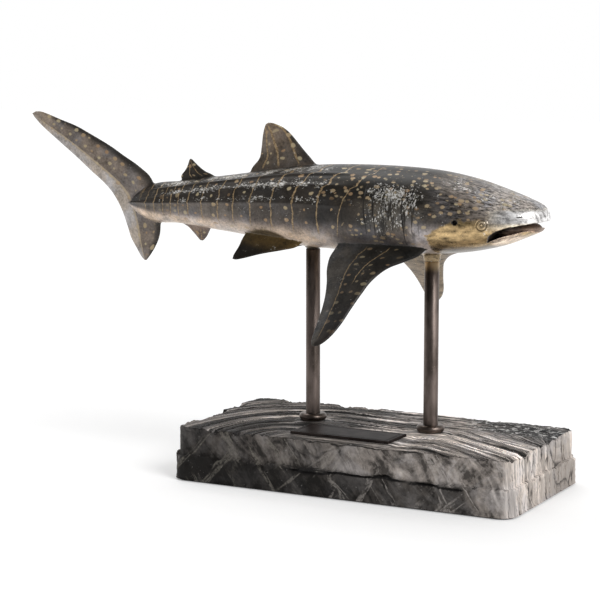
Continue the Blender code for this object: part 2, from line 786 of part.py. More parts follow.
def stone():
    """Block with a grid on its top, walls drawn down from the grid's edge, and the relief pressed inwards."""
    half_x = BASE_LENGTH / 2 - TIER_STEP
    half_y = BASE_WIDTH / 2 - TIER_STEP
    bm = bmesh.new()
    bmesh.ops.create_grid(bm, x_segments=2 * HALF_COLUMNS, y_segments=STONE_ROWS, size=1.0)
    for vertex in bm.verts:
        share = vertex.co.x
        x = LAYER_TURN_X + share * (half_x - LAYER_TURN_X if share > 0 else half_x + LAYER_TURN_X)
        y = vertex.co.y * half_y
        over_x = abs(x) - (half_x - CORNER_RADIUS)
        over_y = abs(y) - (half_y - CORNER_RADIUS)
        if over_x > 0 and over_y > 0:
            pull = max(over_x, over_y) / math.hypot(over_x, over_y)
            x = math.copysign(half_x - CORNER_RADIUS + over_x * pull, x)
            y = math.copysign(half_y - CORNER_RADIUS + over_y * pull, y)
        vertex.co = (x, y, STONE_TOP)
    levels = (
        (0.0, STONE_TOP),
        (TOP_EDGE_ROUND * 0.3 - TOP_EDGE_ROUND, STONE_TOP - TOP_EDGE_ROUND * 0.3),
        (0.0, STONE_TOP - TOP_EDGE_ROUND),
        (0.0, (STONE_TOP + LEDGE_HEIGHT) / 2),
        (0.0, LEDGE_HEIGHT),
        (TIER_STEP, LEDGE_HEIGHT),
        (TIER_STEP, (LEDGE_HEIGHT + STONE_BOTTOM) / 2),
        (TIER_STEP, STONE_BOTTOM),
    )
    rim = [edge for edge in bm.edges if edge.is_boundary]
    top_rim = {vertex for edge in rim for vertex in edge.verts}
    for vertex in top_rim:
        move_out(vertex, -TOP_EDGE_ROUND, STONE_TOP)
    current = -TOP_EDGE_ROUND
    for out, z in levels[1:]:
        made = bmesh.ops.extrude_edge_only(bm, edges=rim)["geom"]
        rim = [item for item in made if isinstance(item, bmesh.types.BMEdge)]
        for vertex in {vertex for edge in rim for vertex in edge.verts}:
            move_out(vertex, out - current, z)
        current = out
    bmesh.ops.contextual_create(bm, geom=rim)
    for vertex in bm.verts:
        carve(vertex)
    return object_from(bm, "stone_base", parts, marble)


def move_out(vertex, distance, z):
    """Slide a wall vertex outwards across the rounded rectangle, to a new height."""
    half_x = BASE_LENGTH / 2 - TIER_STEP - CORNER_RADIUS
    half_y = BASE_WIDTH / 2 - TIER_STEP - CORNER_RADIUS
    core = Vector((min(max(vertex.co.x, -half_x), half_x), min(max(vertex.co.y, -half_y), half_y), 0.0))
    outward = Vector((vertex.co.x, vertex.co.y, 0.0)) - core
    outward.normalize()
    vertex.co.x += outward.x * distance
    vertex.co.y += outward.y * distance
    vertex.co.z = z


def carve(vertex):
    """Press a vertex of the block inwards by the relief at its place."""
    x, y, z = vertex.co
    if z < STONE_BOTTOM + GAP:
        return
    share = layering(x, y, z)
    if z > STONE_TOP - TOP_EDGE_ROUND * 0.5:
        vertex.co.z -= RELIEF_DEPTH * share * clear_of_pads(x, y)
    if z > STONE_TOP - GAP:
        return
    depth = SIDE_RELIEF_DEPTH * share
    half_x = BASE_LENGTH / 2 - TIER_STEP - CORNER_RADIUS
    half_y = BASE_WIDTH / 2 - TIER_STEP - CORNER_RADIUS
    if abs(x) > half_x:
        vertex.co.x -= math.copysign(depth, x)
    if abs(y) > half_y:
        vertex.co.y -= math.copysign(depth * 0.6, y)


def bolt_hole_tool(name, x):
    """Through hole for a stud, with the pocket for its washer and nut."""
    hole = STUD_DIAMETER / 2 + HOLE_CLEARANCE
    pocket = POCKET_DIAMETER / 2
    below = STONE_BOTTOM - POCKET_DEPTH
    above = STONE_TOP + POCKET_DEPTH
    profile = [
        (0.0, above),
        (hole, above),
        (hole, POCKET_TOP),
        (pocket, POCKET_TOP),
        (pocket, below),
        (0.0, below),
    ]
    return tool_from(turned_bmesh(profile, x, 24), name, tools)


def felt():
    """Pad under the stone, which hides the pockets."""
    bm = bmesh.new()
    bmesh.ops.create_cube(bm, size=1.0)
    size = (BASE_LENGTH - 2 * FELT_INSET, BASE_WIDTH - 2 * FELT_INSET, FELT_THICKNESS)
    bmesh.ops.scale(bm, verts=bm.verts, vec=size)
    bmesh.ops.translate(bm, verts=bm.verts, vec=(0.0, 0.0, FELT_THICKNESS / 2))
    upright_edges = [e for e in bm.edges if abs(e.verts[0].co.z - e.verts[1].co.z) > FELT_THICKNESS / 2]
    bmesh.ops.bevel(bm, geom=upright_edges, offset=CORNER_RADIUS, segments=6, affect="EDGES", profile=0.5)
    return object_from(bm, "felt_pad", parts, felt_cloth)


def border_tool(name, inset):
    """Frame-shaped cutter for one engraved line round the plaque."""
    top = STONE_TOP + GAP + PLAQUE_THICKNESS
    bm = bmesh.new()
    bmesh.ops.create_grid(bm, x_segments=1, y_segments=1, size=0.5)
    bmesh.ops.scale(bm, verts=bm.verts, vec=(PLAQUE_LENGTH - 2 * inset, PLAQUE_WIDTH - 2 * inset, 1.0))
    outer = bm.faces[:]
    bmesh.ops.inset_region(bm, faces=outer, thickness=BORDER_LINE, use_boundary=True, use_even_offset=True)
    bmesh.ops.delete(bm, geom=outer, context="FACES_ONLY")
    bmesh.ops.translate(bm, verts=bm.verts, vec=(PLAQUE_X, PLAQUE_Y, top - BORDER_DEPTH))
    swept = bmesh.ops.extrude_face_region(bm, geom=bm.faces[:])["geom"]
    moved = [item for item in swept if isinstance(item, bmesh.types.BMVert)]
    bmesh.ops.translate(bm, verts=moved, vec=(0.0, 0.0, PLAQUE_THICKNESS))
    return tool_from(bm, name, tools)


def plaque():
    """Bare plate with two engraved border lines."""
    bm = bmesh.new()
    bmesh.ops.create_cube(bm, size=1.0)
    bmesh.ops.scale(bm, verts=bm.verts, vec=(PLAQUE_LENGTH, PLAQUE_WIDTH, PLAQUE_THICKNESS))
    centre = (PLAQUE_X, PLAQUE_Y, STONE_TOP + GAP + PLAQUE_THICKNESS / 2)
    bmesh.ops.translate(bm, verts=bm.verts, vec=centre)
    upper = [e for e in bm.edges if min(v.co.z for v in e.verts) > STONE_TOP + PLAQUE_THICKNESS / 2]
    bmesh.ops.bevel(bm, geom=upper, offset=PLAQUE_EDGE, segments=2, affect="EDGES", profile=0.5)
    made = object_from(bm, "plaque", parts, plate_metal)
    boolean(made, border_tool("outer_border_cutter", BORDER_INSET), "DIFFERENCE")
    boolean(made, border_tool("inner_border_cutter", BORDER_INSET + BORDER_SPACING), "DIFFERENCE")
    return made


fresh_scene()
parts = new_collection("whale shark figurine")
forms = new_collection("shark forms")
cutters = new_collection("shark cutters")
tools = new_collection("other cutters")

bronze = material("patinated bronze", (0.055, 0.045, 0.035), 0.38, 1.0)
dark_bronze = material("dark bronze bar", (0.070, 0.050, 0.040), 0.45, 1.0)
marble = material("veined stone", (0.20, 0.20, 0.20), 0.55, 0.0)
plate_metal = material("plaque metal", (0.050, 0.045, 0.040), 0.40, 1.0)
steel = material("zinc-plated steel", (0.55, 0.56, 0.58), 0.35, 1.0)
felt_cloth = material("black felt", (0.02, 0.02, 0.02), 0.95, 0.0)

shark()
base = stone()
plaque()
felt()
for end, post_x, post_drop in (("front", FRONT_POST_X, FRONT_BOSS_DROP), ("rear", REAR_POST_X, REAR_BOSS_DROP)):
    boolean(base, bolt_hole_tool(f"{end}_hole_cutter", post_x), "DIFFERENCE")
    post(f"{end}_post", post_x, post_drop)
    collar(f"{end}_collar", post_x)
    washer(f"{end}_washer", post_x)
    nut(f"{end}_nut", post_x)
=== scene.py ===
# %% [markdown]
# # Whale shark on two posts
# A cast bronze whale shark stands on two round posts over a carved block of veined stone. The CAD model
# gives every size and place. This notebook makes the visible surfaces: a denser casting with its gilt
# stripes and spots, the carved stone, the bars and the plate. All lengths are in metres.

import math

import bmesh
import bpy
import numpy as np
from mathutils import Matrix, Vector, kdtree, noise


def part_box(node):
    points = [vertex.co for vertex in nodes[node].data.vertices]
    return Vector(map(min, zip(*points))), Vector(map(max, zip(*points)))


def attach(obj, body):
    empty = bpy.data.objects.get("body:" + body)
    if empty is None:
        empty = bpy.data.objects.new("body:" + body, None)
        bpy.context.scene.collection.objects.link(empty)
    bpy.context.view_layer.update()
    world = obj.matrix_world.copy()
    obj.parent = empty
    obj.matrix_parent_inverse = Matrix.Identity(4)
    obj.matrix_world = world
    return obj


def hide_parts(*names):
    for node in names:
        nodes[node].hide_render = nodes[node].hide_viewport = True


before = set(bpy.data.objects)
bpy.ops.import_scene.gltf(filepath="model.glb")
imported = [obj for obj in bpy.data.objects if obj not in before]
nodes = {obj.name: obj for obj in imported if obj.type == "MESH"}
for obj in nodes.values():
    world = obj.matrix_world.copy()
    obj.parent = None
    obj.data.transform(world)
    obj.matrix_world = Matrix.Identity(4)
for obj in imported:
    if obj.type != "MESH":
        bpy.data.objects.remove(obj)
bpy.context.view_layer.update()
print("CAD nodes:", sorted(nodes))

# %% [markdown]
# ## Camera
# A product picture of a long object is taken from far away with a long lens, so that the near end doesn't
# swell. The camera could be placed by eye, but here its angle, distance and lens were fitted to the places
# of the posts, the base and the fins. It looks along the line from the right front, a little from above.

# %% Camera
LOOK_AT = Vector((-0.0915, -0.0050, 0.1979))
AZIMUTH = math.radians(27.95)
ELEVATION = math.radians(7.865)
DISTANCE = 2.2
SENSOR_MM = 36.0
LENS_MM = 117.78
backwards = Vector((
    math.sin(AZIMUTH) * math.cos(ELEVATION),
    -math.cos(AZIMUTH) * math.cos(ELEVATION),
    math.sin(ELEVATION),
))


def placed(name, data, turned_to=None):
    """New object in the scene, with its Z axis turned to a direction if asked."""
    made = bpy.data.objects.new(name, data)
    bpy.context.scene.collection.objects.link(made)
    if turned_to is not None:
        made.rotation_mode = "QUATERNION"
        made.rotation_quaternion = Vector(turned_to).to_track_quat("Z", "Y")
    return made


camera_data = bpy.data.cameras.new("long lens")
camera_data.sensor_width = SENSOR_MM
camera_data.lens = LENS_MM
camera = placed("camera", camera_data, backwards)
camera.location = LOOK_AT + backwards * DISTANCE
bpy.context.scene.camera = camera
bpy.context.scene.view_settings.view_transform = "Standard"
print("camera at", tuple(round(c, 3) for c in camera.location))

# %% [markdown]
# ## Node helpers
# Every finish below is a small network of shader nodes. What flows through a network is wrapped, so that a
# formula reads as a formula and each sign in it adds one node. The helpers add to the network that is being
# made at the time, which is always called tree.

# %% Node helpers
class Flow:
    """Number, vector or colour that a node gives. Plain sums of numbers become math nodes."""

    def __init__(self, socket):
        self.socket = socket

    def __add__(self, other):
        return sums("ADD", self, other)

    def __sub__(self, other):
        return sums("SUBTRACT", self, other)

    def __rsub__(self, other):
        return sums("SUBTRACT", other, self)

    def __mul__(self, other):
        return sums("MULTIPLY", self, other)

    def __abs__(self):
        return sums("ABSOLUTE", self)


def fill(node, values):
    """Sets inputs of a node, or links them to what flows in."""
    for name, value in values.items():
        if isinstance(value, Flow):
            tree.links.new(value.socket, node.inputs[name])
        else:
            node.inputs[name].default_value = value


def add(kind, sockets=(), **settings):
    """Adds a node to the tree and fills its sockets."""
    made = tree.nodes.new("ShaderNode" + kind)
    for name, value in settings.items():
        setattr(made, name, value)
    fill(made, dict(sockets))
    return made


def flow(kind, output, sockets=(), **settings):
    """Adds a node and gives back what flows from one of its outputs."""
    return Flow(add(kind, sockets, **settings).outputs[output])


def sums(operation, *values):
    return flow("Math", 0, enumerate(values), operation=operation)


def vector_sums(operation, *values, output="Vector"):
    return flow("VectorMath", output, enumerate(values), operation=operation)


def scaled(vector, share):
    """Vector or colour times a number."""
    return flow("VectorMath", 0, {0: vector, "Scale": share}, operation="SCALE")


def highest(first, second):
    return sums("MAXIMUM", first, second)


def lowest(first, second):
    return sums("MINIMUM", first, second)


def split_up(value, kind="XYZ"):
    """The three parts of a vector, or of a colour."""
    made = add("Separate" + kind, {0: value})
    return [Flow(output) for output in made.outputs[:3]]


def mixed(share, first, second):
    """Colour between two colours."""
    return flow("Mix", 2, {0: share, 6: first, 7: second}, data_type="RGBA")


def between(share, first, second):
    """Number between two numbers."""
    return flow("Mix", 0, {0: share, 2: first, 3: second}, data_type="FLOAT")


def steps(value, low, high):
    """0 below low, 1 above high, and a smooth rise between them."""
    limits = {"Value": value, "From Min": low, "From Max": high}
    return flow("MapRange", "Result", limits, interpolation_type="SMOOTHSTEP")


def fractal(place, scale, detail=3.0, rough=0.55, stretch=None, warp=0.0, output=0):
    """Noise value around 0.5, with the place stretched first if asked."""
    if stretch is not None:
        place = flow("Mapping", 0, {"Vector": place, "Scale": stretch})
    settings = {"Vector": place, "Scale": scale, "Detail": detail, "Roughness": rough, "Distortion": warp}
    return flow("TexNoise", output, settings)


def read(name, output="Fac"):
    """An attribute of the mesh, as a number, or as a vector."""
    return flow("Attribute", output, attribute_name=name)


def bumpy(height):
    """Normals of a surface whose bumps are that high, in millimetres."""
    return flow("Bump", 0, {"Strength": 1.0, "Distance": 0.001, "Height": height})


def grey(level):
    return (level, level, level, 1.0)


def finish(name, roughness=0.5, metallic=0.0):
    """New material: itself, its tree, its shader and the object coordinates."""
    made = bpy.data.materials.new(name)
    made.use_nodes = True
    shader = made.node_tree.nodes["Principled BSDF"]
    shader.inputs["Roughness"].default_value = roughness
    shader.inputs["Metallic"].default_value = metallic
    place = Flow(made.node_tree.nodes.new("ShaderNodeTexCoord").outputs["Object"])
    return made, made.node_tree, shader, place

# %% [markdown]
# ## Studio
# The object stands on a white sweep. Large soft lamps give it a bright top and right side, and the floor
# fills the belly from below. Lamps close to the object would leave bright patches on the floor, so the two
# lamps here are suns with a wide disc, which light the whole floor evenly. The world is white behind the
# object and darker overhead and behind the camera, which is what dark bronze shows in its reflections.

# %% World
world = bpy.data.worlds.new("studio")
world.use_nodes = True
bpy.context.scene.world = world
tree = world.node_tree
direction = flow("TexCoord", "Generated")
away = (-math.sin(AZIMUTH), math.cos(AZIMUTH), 0.0)
behind = vector_sums("DOT_PRODUCT", direction, away, output="Value")
room = mixed(steps(behind, -0.35, 0.75), grey(0.14), grey(1.0))
room = mixed(steps(split_up(direction)[2], 0.30, 0.85), room, grey(0.20))
right_side = vector_sums("DOT_PRODUCT", direction, (0.93, -0.10, 0.35), output="Value")
room = mixed(steps(right_side, 0.78, 0.95), room, grey(1.5))


def ray_kinds(*names):
    """1 for rays of these kinds."""
    outputs = add("LightPath").outputs
    chosen = [Flow(outputs[name]) for name in names]
    while len(chosen) > 1:
        chosen[:2] = [highest(*chosen[:2])]
    return chosen[0]


soft_light = mixed(ray_kinds("Is Glossy Ray"), grey(0.52), room)
seen = ray_kinds("Is Camera Ray", "Is Transmission Ray")
fill(tree.nodes["Background"], {"Color": mixed(seen, soft_light, grey(1.0))})


# %% Lamps
def wide_lamp(name, towards, strength, spread):
    """Sun lamp that shines from a direction, with a disc of that width in degrees."""
    data = bpy.data.lights.new(name, "SUN")
    data.energy = strength
    data.angle = math.radians(spread)
    return placed(name, data, towards)


wide_lamp("key lamp", (0.75, -0.30, 0.62), 1.5, 28.0)
wide_lamp("top lamp", (-0.35, 0.35, 0.90), 0.9, 40.0)

# %% Floor
bm = bmesh.new()
bmesh.ops.create_grid(bm, x_segments=8, y_segments=8, size=8.0)
floor_mesh = bpy.data.meshes.new("floor")
bm.to_mesh(floor_mesh)
bm.free()
floor = placed("floor", floor_mesh)
paper, tree, shader, place = finish("white paper", roughness=0.9)
seen = ray_kinds("Is Camera Ray", "Is Glossy Ray", "Is Transmission Ray")
fill(shader, {
    "Base Color": grey(0.80),
    "Specular IOR Level": 0.0,
    "Emission Color": grey(1.0),
    "Emission Strength": seen * 0.24,
})
floor_mesh.materials.append(paper)

# %% [markdown]
# ## Shape of the body
# The real casting was modelled in clay or wax over drawn sections. Here the body is a skin over sections:
# each has a back, a belly, a half width and the level where it is widest, and smooth curves join them.
# Round the head the curves follow the root of the distance to the nose, so that the snout is blunt. Three
# lengthwise ridges run along each flank and the lowest grows into the keel beside the tail. The numbers
# are the CAD model's, so the denser skin lies on the CAD solid.

# %% Sections
GAP = 0.0003
SWIM_HEIGHT = 0.2376
STONE_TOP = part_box("plaque")[0].z - GAP
SWIM_LEVEL = STONE_TOP + SWIM_HEIGHT

# x, then back, belly, half width and widest level
STATIONS = np.array((
    (-0.3190, 0.0020, -0.0055, 0.0030, -0.0018),
    (-0.3000, 0.0150, -0.0165, 0.0110, -0.0020),
    (-0.2800, 0.0230, -0.0225, 0.0180, -0.0020),
    (-0.2500, 0.0262, -0.0222, 0.0245, -0.0010),
    (-0.2050, 0.0325, -0.0265, 0.0330, 0.0005),
    (-0.1600, 0.0388, -0.0310, 0.0405, 0.0018),
    (-0.1200, 0.0450, -0.0370, 0.0465, 0.0028),
    (-0.0720, 0.0505, -0.0405, 0.0530, 0.0030),
    (-0.0200, 0.0525, -0.0415, 0.0575, 0.0024),
    (0.0300, 0.0520, -0.0425, 0.0592, 0.0000),
    (0.0750, 0.0490, -0.0402, 0.0588, -0.0035),
    (0.1150, 0.0420, -0.0362, 0.0550, -0.0070),
    (0.1500, 0.0320, -0.0285, 0.0480, -0.0080),
    (0.1750, 0.0235, -0.0190, 0.0375, -0.0030),
    (0.1910, 0.0168, -0.0118, 0.0255, 0.0010),
    (0.1978, 0.0105, -0.0065, 0.0130, 0.0020),
    (0.1998, 0.0020, 0.0020, 0.0000, 0.0020),
))
NOSE_X = STATIONS[-1][0]
TAIL_X = STATIONS[0][0]

# Ridges in degrees from the back, how far each falls off above and below, and the keel beside the tail
RIDGES = (40.0, 59.0, 81.0)
RIDGE_HEIGHT = 0.0014
RIDGE_ABOVE, RIDGE_BELOW = 5.5, 3.6
KEEL_HEIGHT = 0.0035
KEEL_HALF = 12.0
POWER = 2.25


def through(keys, values, at):
    """Smooth curve through values at rising keys, read at many places."""
    keys = np.asarray(keys, float)
    values = np.asarray(values, float)
    at = np.clip(np.asarray(at, float), keys[0], keys[-1])
    i = np.clip(np.searchsorted(keys, at, side="right") - 1, 0, len(keys) - 2)
    before = np.maximum(np.arange(len(keys)) - 1, 0)
    after = np.minimum(np.arange(len(keys)) + 1, len(keys) - 1)
    slopes = (values[after] - values[before]) / (keys[after] - keys[before])
    width = keys[i + 1] - keys[i]
    t = (at - keys[i]) / width
    return (
        values[i] * (1 + 2 * t) * (1 - t) ** 2
        + slopes[i] * width * t * (1 - t) ** 2
        + values[i + 1] * t * t * (3 - 2 * t)
        - slopes[i + 1] * width * t * t * (1 - t)
    )


def beside(*columns):
    """Array with these numbers of each point in its columns."""
    return np.stack(columns, axis=-1)


def ease(low, high, x):
    """0 below low, 1 above high, and a smooth rise between them; low may be the larger one."""
    t = np.clip((np.asarray(x, float) - low) / (high - low), 0.0, 1.0)
    return t * t * (3 - 2 * t)


def section(x):
    """Back, belly, half width and widest level at each x."""
    reach = np.sqrt(np.maximum(NOSE_X - np.asarray(x, float), 0.0))
    keys = np.sqrt(NOSE_X - STATIONS[::-1, 0])
    return [through(keys, STATIONS[::-1, column], reach) for column in range(1, 5)]


def skin(x, angle, lift=0.0):
    """Points of the skin at x, at angles in degrees from the back round over the -Y flank."""
    x, angle = np.broadcast_arrays(np.asarray(x, float), np.asarray(angle, float))
    back, belly, half_width, level = section(x)
    turn = np.radians(angle)
    half_width = np.maximum(half_width, 1e-6)
    height = np.maximum(np.where(np.cos(turn) >= 0, back - level, level - belly), 1e-6)
    across = np.abs(np.sin(turn) / half_width) ** POWER + np.abs(np.cos(turn) / height) ** POWER
    radius = np.where(x >= NOSE_X - 1e-9, 0.0, across ** (-1 / POWER))
    folded = np.minimum(angle, 360.0 - angle)
    ridge = RIDGE_HEIGHT * (1 - ease(-0.050, 0.010, x)) * ease(TAIL_X, -0.2650, x)
    crest = np.zeros_like(folded)
    for at in RIDGES:
        away = np.where(folded < at, (at - folded) / RIDGE_ABOVE, (folded - at) / RIDGE_BELOW)
        crest = np.maximum(crest, 1 - away)
    radius = radius + ridge * crest
    keel = KEEL_HEIGHT * (1 - ease(-0.3000, -0.2650, x)) * np.minimum(radius / 0.004, 1.0)
    radius = radius + keel * np.maximum(0.0, 1 - np.abs(folded - RIDGES[-1]) / KEEL_HALF) + lift
    return beside(x, -radius * np.sin(turn), SWIM_LEVEL + level + radius * np.cos(turn))


print("half width at the gills:", np.round(section(0.03)[2], 4))

# %% [markdown]
# ## Skin of the body
# A grid is bent into the skin: one direction runs from the tail to the nose and the other goes once round.
# The rows lie closer together on the gills and the head, where there is more to see, and a column lies on
# each ridge, so that its crest stays crisp. The seam and the nose are closed by merging doubles.

# %% Body
def reshaped(bm, change):
    """Moves every vertex of a bmesh by a function of the array of their places."""
    before = np.array([vertex.co[:] for vertex in bm.verts])
    after = change(before)
    for vertex, place in zip(bm.verts, after):
        vertex.co = place


def closed_up(bm):
    """Merges the seam, fills open ends and turns the faces outwards."""
    bmesh.ops.remove_doubles(bm, verts=bm.verts, dist=0.000002)
    bmesh.ops.dissolve_degenerate(bm, edges=bm.edges, dist=0.000001)
    open_edges = [edge for edge in bm.edges if edge.is_boundary]
    if open_edges:
        bmesh.ops.holes_fill(bm, edges=open_edges, sides=0)
    bmesh.ops.recalc_face_normals(bm, faces=bm.faces)


def piece_from(bm, name):
    """Object with the mesh of a bmesh, smooth shaded."""
    mesh = bpy.data.meshes.new(name)
    bm.to_mesh(mesh)
    bm.free()
    mesh.shade_smooth()
    return placed(name, mesh)


rows = np.concatenate([
    np.linspace(TAIL_X, -0.020, 134, endpoint=False),
    np.linspace(-0.020, 0.080, 88, endpoint=False),
    NOSE_X - np.linspace(math.sqrt(NOSE_X - 0.080), 0.0, 96) ** 2,
])
corners = (0.0, *RIDGES, 132.0, 180.0)
side = np.concatenate([
    np.linspace(low, high, parts, endpoint=False)
    for low, high, parts in zip(corners, corners[1:], (22, 12, 14, 34, 13))
])
columns = np.concatenate([side, [180.0], 360.0 - side[::-1]])

bm = bmesh.new()
bmesh.ops.create_grid(bm, x_segments=len(rows) - 1, y_segments=len(columns) - 1, size=1.0)


def wrap_round(places):
    """Bends the flat grid into the skin."""
    row = np.rint((places[:, 0] + 1) / 2 * (len(rows) - 1)).astype(int)
    column = np.rint((places[:, 1] + 1) / 2 * (len(columns) - 1)).astype(int)
    return skin(rows[row], columns[column])


reshaped(bm, wrap_round)
closed_up(bm)
print("body faces:", len(bm.faces), "open edges:", sum(edge.is_boundary for edge in bm.edges))
casting = piece_from(bm, "whale_shark")

# %% [markdown]
# ## Fins
# Each fin is a flat blade with a rounded front edge and a thin rear edge. Its outline is a row of front
# and rear points from root to tip. A grid is wrapped round the blade, front edge to rear edge and back,
# and its thickness follows the shape of a wing. The paired fins hang from the flanks at an angle.

# %% Outlines
# Front point and rear point of each row, from root to tip
FIRST_DORSAL = (
    (-0.0640, 0.0380, -0.1600, 0.0280),
    (-0.0730, 0.0498, -0.1570, 0.0420),
    (-0.0890, 0.0660, -0.1460, 0.0550),
    (-0.1050, 0.0830, -0.1430, 0.0680),
    (-0.1150, 0.0905, -0.1415, 0.0800),
    (-0.1240, 0.0940, -0.1400, 0.0870),
    (-0.1300, 0.0955, -0.1385, 0.0915),
    (-0.1345, 0.0955, -0.1375, 0.0938),
)
SECOND_DORSAL = (
    (-0.1990, 0.0240, -0.2440, 0.0190),
    (-0.2050, 0.0345, -0.2495, 0.0300),
    (-0.2140, 0.0372, -0.2480, 0.0335),
    (-0.2215, 0.0412, -0.2440, 0.0380),
    (-0.2285, 0.0465, -0.2410, 0.0425),
    (-0.2340, 0.0512, -0.2385, 0.0480),
    (-0.2360, 0.0522, -0.2377, 0.0508),
)
ANAL = (
    (-0.2050, -0.0190, -0.2520, -0.0140),
    (-0.2090, -0.0262, -0.2490, -0.0215),
    (-0.2122, -0.0310, -0.2400, -0.0262),
    (-0.2152, -0.0362, -0.2325, -0.0327),
    (-0.2182, -0.0396, -0.2265, -0.0386),
    (-0.2205, -0.0414, -0.2237, -0.0413),
)
CAUDAL = (
    (-0.4548, 0.1000, -0.4550, 0.0990),
    (-0.4530, 0.1015, -0.4545, 0.0970),
    (-0.4480, 0.1023, -0.4515, 0.0938),
    (-0.4395, 0.1012, -0.4450, 0.0875),
    (-0.4160, 0.0935, -0.4300, 0.0760),
    (-0.3930, 0.0860, -0.4120, 0.0630),
    (-0.3730, 0.0770, -0.3940, 0.0500),
    (-0.3460, 0.0640, -0.3720, 0.0330),
    (-0.3270, 0.0530, -0.3570, 0.0220),
    (-0.3060, 0.0410, -0.3450, 0.0110),
    (-0.2880, 0.0260, -0.3360, -0.0010),
    (-0.2800, 0.0010, -0.3290, -0.0140),
    (-0.2770, -0.0230, -0.3220, -0.0320),
    (-0.2790, -0.0390, -0.3180, -0.0430),
    (-0.2850, -0.0520, -0.3110, -0.0540),
    (-0.2920, -0.0620, -0.3040, -0.0645),
    (-0.2970, -0.0680, -0.2995, -0.0685),
)
PECTORAL = (
    (-0.0020, -0.0160, 0.1060, -0.0160),
    (0.0060, 0.0050, 0.1090, 0.0050),
    (0.0200, 0.0150, 0.1110, 0.0170),
    (0.0380, 0.0260, 0.1085, 0.0330),
    (0.0505, 0.0430, 0.1025, 0.0500),
    (0.0570, 0.0630, 0.0975, 0.0700),
    (0.0620, 0.0830, 0.0950, 0.0900),
    (0.0665, 0.1030, 0.0940, 0.1110),
    (0.0725, 0.1190, 0.0930, 0.1240),
    (0.0800, 0.1300, 0.0915, 0.1310),
    (0.0852, 0.1337, 0.0892, 0.1335),
)
PELVIC = (
    (0.0000, -0.0120, 0.0740, -0.0180),
    (0.0030, 0.0010, 0.0765, -0.0050),
    (0.0190, 0.0065, 0.0772, 0.0040),
    (0.0460, 0.0135, 0.0785, 0.0105),
    (0.0650, 0.0200, 0.0800, 0.0175),
    (0.0760, 0.0232, 0.0797, 0.0225),
)


# %% Fin blades
def upright(a, b, sideways):
    """Places points of a fin that stands in the middle plane."""
    return beside(a, sideways, SWIM_LEVEL + b)


def slanted(x, out, level, droop, side, sweep=0.0):
    """Placing function of a fin that leaves the flank, hangs by an angle and is swept back."""
    turn = math.radians(droop)
    outward = np.array((0.0, side * math.cos(turn), -math.sin(turn)))
    upward = np.array((0.0, side * math.sin(turn), math.cos(turn)))
    root = np.array((x, side * out, SWIM_LEVEL + level))

    def place(a, b, sideways):
        """Places points of this fin."""
        along = beside(-a - sweep * b, 0 * a, 0 * a)
        return root + along + outward * b[:, None] + upward * sideways[:, None]

    return place


def wing(share):
    """Thickness of a blade across its chord, as a share of the greatest."""
    return np.sqrt(share) * (1 - share) / 0.385


def tail_wing(share):
    """The same for the tail fin, which is thickest behind its middle."""
    return through((0.0, 0.05, 0.20, 0.45, 0.68, 0.84, 1.0), (0.0, 0.30, 0.52, 0.80, 1.0, 0.5, 0.0), share)


fin_shapes = {}


def blade(name, outline, thickness, place, across=30, along=44, profile=wing, thickest=0.0):
    """Closed blade. thickness is the greatest half thickness at the thickest row and at the ends."""
    outline = np.array(outline)
    middle = (outline[:, :2] + outline[:, 2:]) / 2
    run = np.concatenate([[0.0], np.cumsum(np.linalg.norm(np.diff(middle, axis=0), axis=1))])
    run /= run[-1]
    fin_shapes[name] = (outline, run, place)
    bm = bmesh.new()
    bmesh.ops.create_grid(bm, x_segments=2 * across, y_segments=along, size=1.0)

    def wrap(places):
        """Wraps the grid round the blade, from the front edge to the rear edge and back."""
        t = places[:, 0] + 1
        over = np.where(t <= 1, 1.0, -1.0)
        share = (1 - np.cos(np.pi * np.where(t <= 1, t, 2 - t))) / 2
        span = (places[:, 1] + 1) / 2
        span = 1 - (1 - span) ** 1.25 if thickest == 0.0 else span
        corner = [through(run, outline[:, k], span) for k in range(4)]
        before = (thickest - span) / max(thickest, 1e-6)
        away = np.where(span < thickest, before, (span - thickest) / (1 - thickest))
        half = thickness[0] + (thickness[1] - thickness[0]) * np.clip(away, 0, 1) ** 0.75
        rounded = np.sqrt(np.clip((1.0 - share) / 0.03, 0, 1)) * np.sqrt(np.clip(share / 0.02, 0, 1))
        deep = (half * profile(share) + 0.0005 * rounded) * np.sqrt(np.clip((1 - span) / 0.03, 0.02, 1))
        a = corner[0] + (corner[2] - corner[0]) * share
        b = corner[1] + (corner[3] - corner[1]) * share
        return place(a, b, over * deep)

    reshaped(bm, wrap)
    closed_up(bm)
    return piece_from(bm, name)


SMALL_FIN = (0.0032, 0.0009)
BIG_FIN = (0.0052, 0.0013)
SIDES = (("near", -1), ("far", 1))
near_place = slanted(0.082, 0.043, -0.033, 45.5, -1)
far_place = slanted(0.103, 0.043, -0.033, 38.0, 1, 0.09)
forms = [
    blade("first_dorsal", FIRST_DORSAL, (0.0055, 0.0012), upright),
    blade("second_dorsal", SECOND_DORSAL, SMALL_FIN, upright, 18, 22),
    blade("anal_fin", ANAL, SMALL_FIN, upright, 18, 20),
    blade("caudal_fin", CAUDAL, (0.0042, 0.0014), upright, 26, 110, tail_wing, 0.60),
    blade("near_pectoral", PECTORAL, BIG_FIN, near_place, 32, 56),
    blade("far_pectoral", PECTORAL, BIG_FIN, far_place, 30, 50),
]
for label, side_of in SIDES:
    hung = slanted(-0.073, 0.036, -0.036, 52.0, side_of)
    forms.append(blade(f"{label}_pelvic", PELVIC, SMALL_FIN, hung, 28, 24))
print("fins:", [form.name for form in forms])

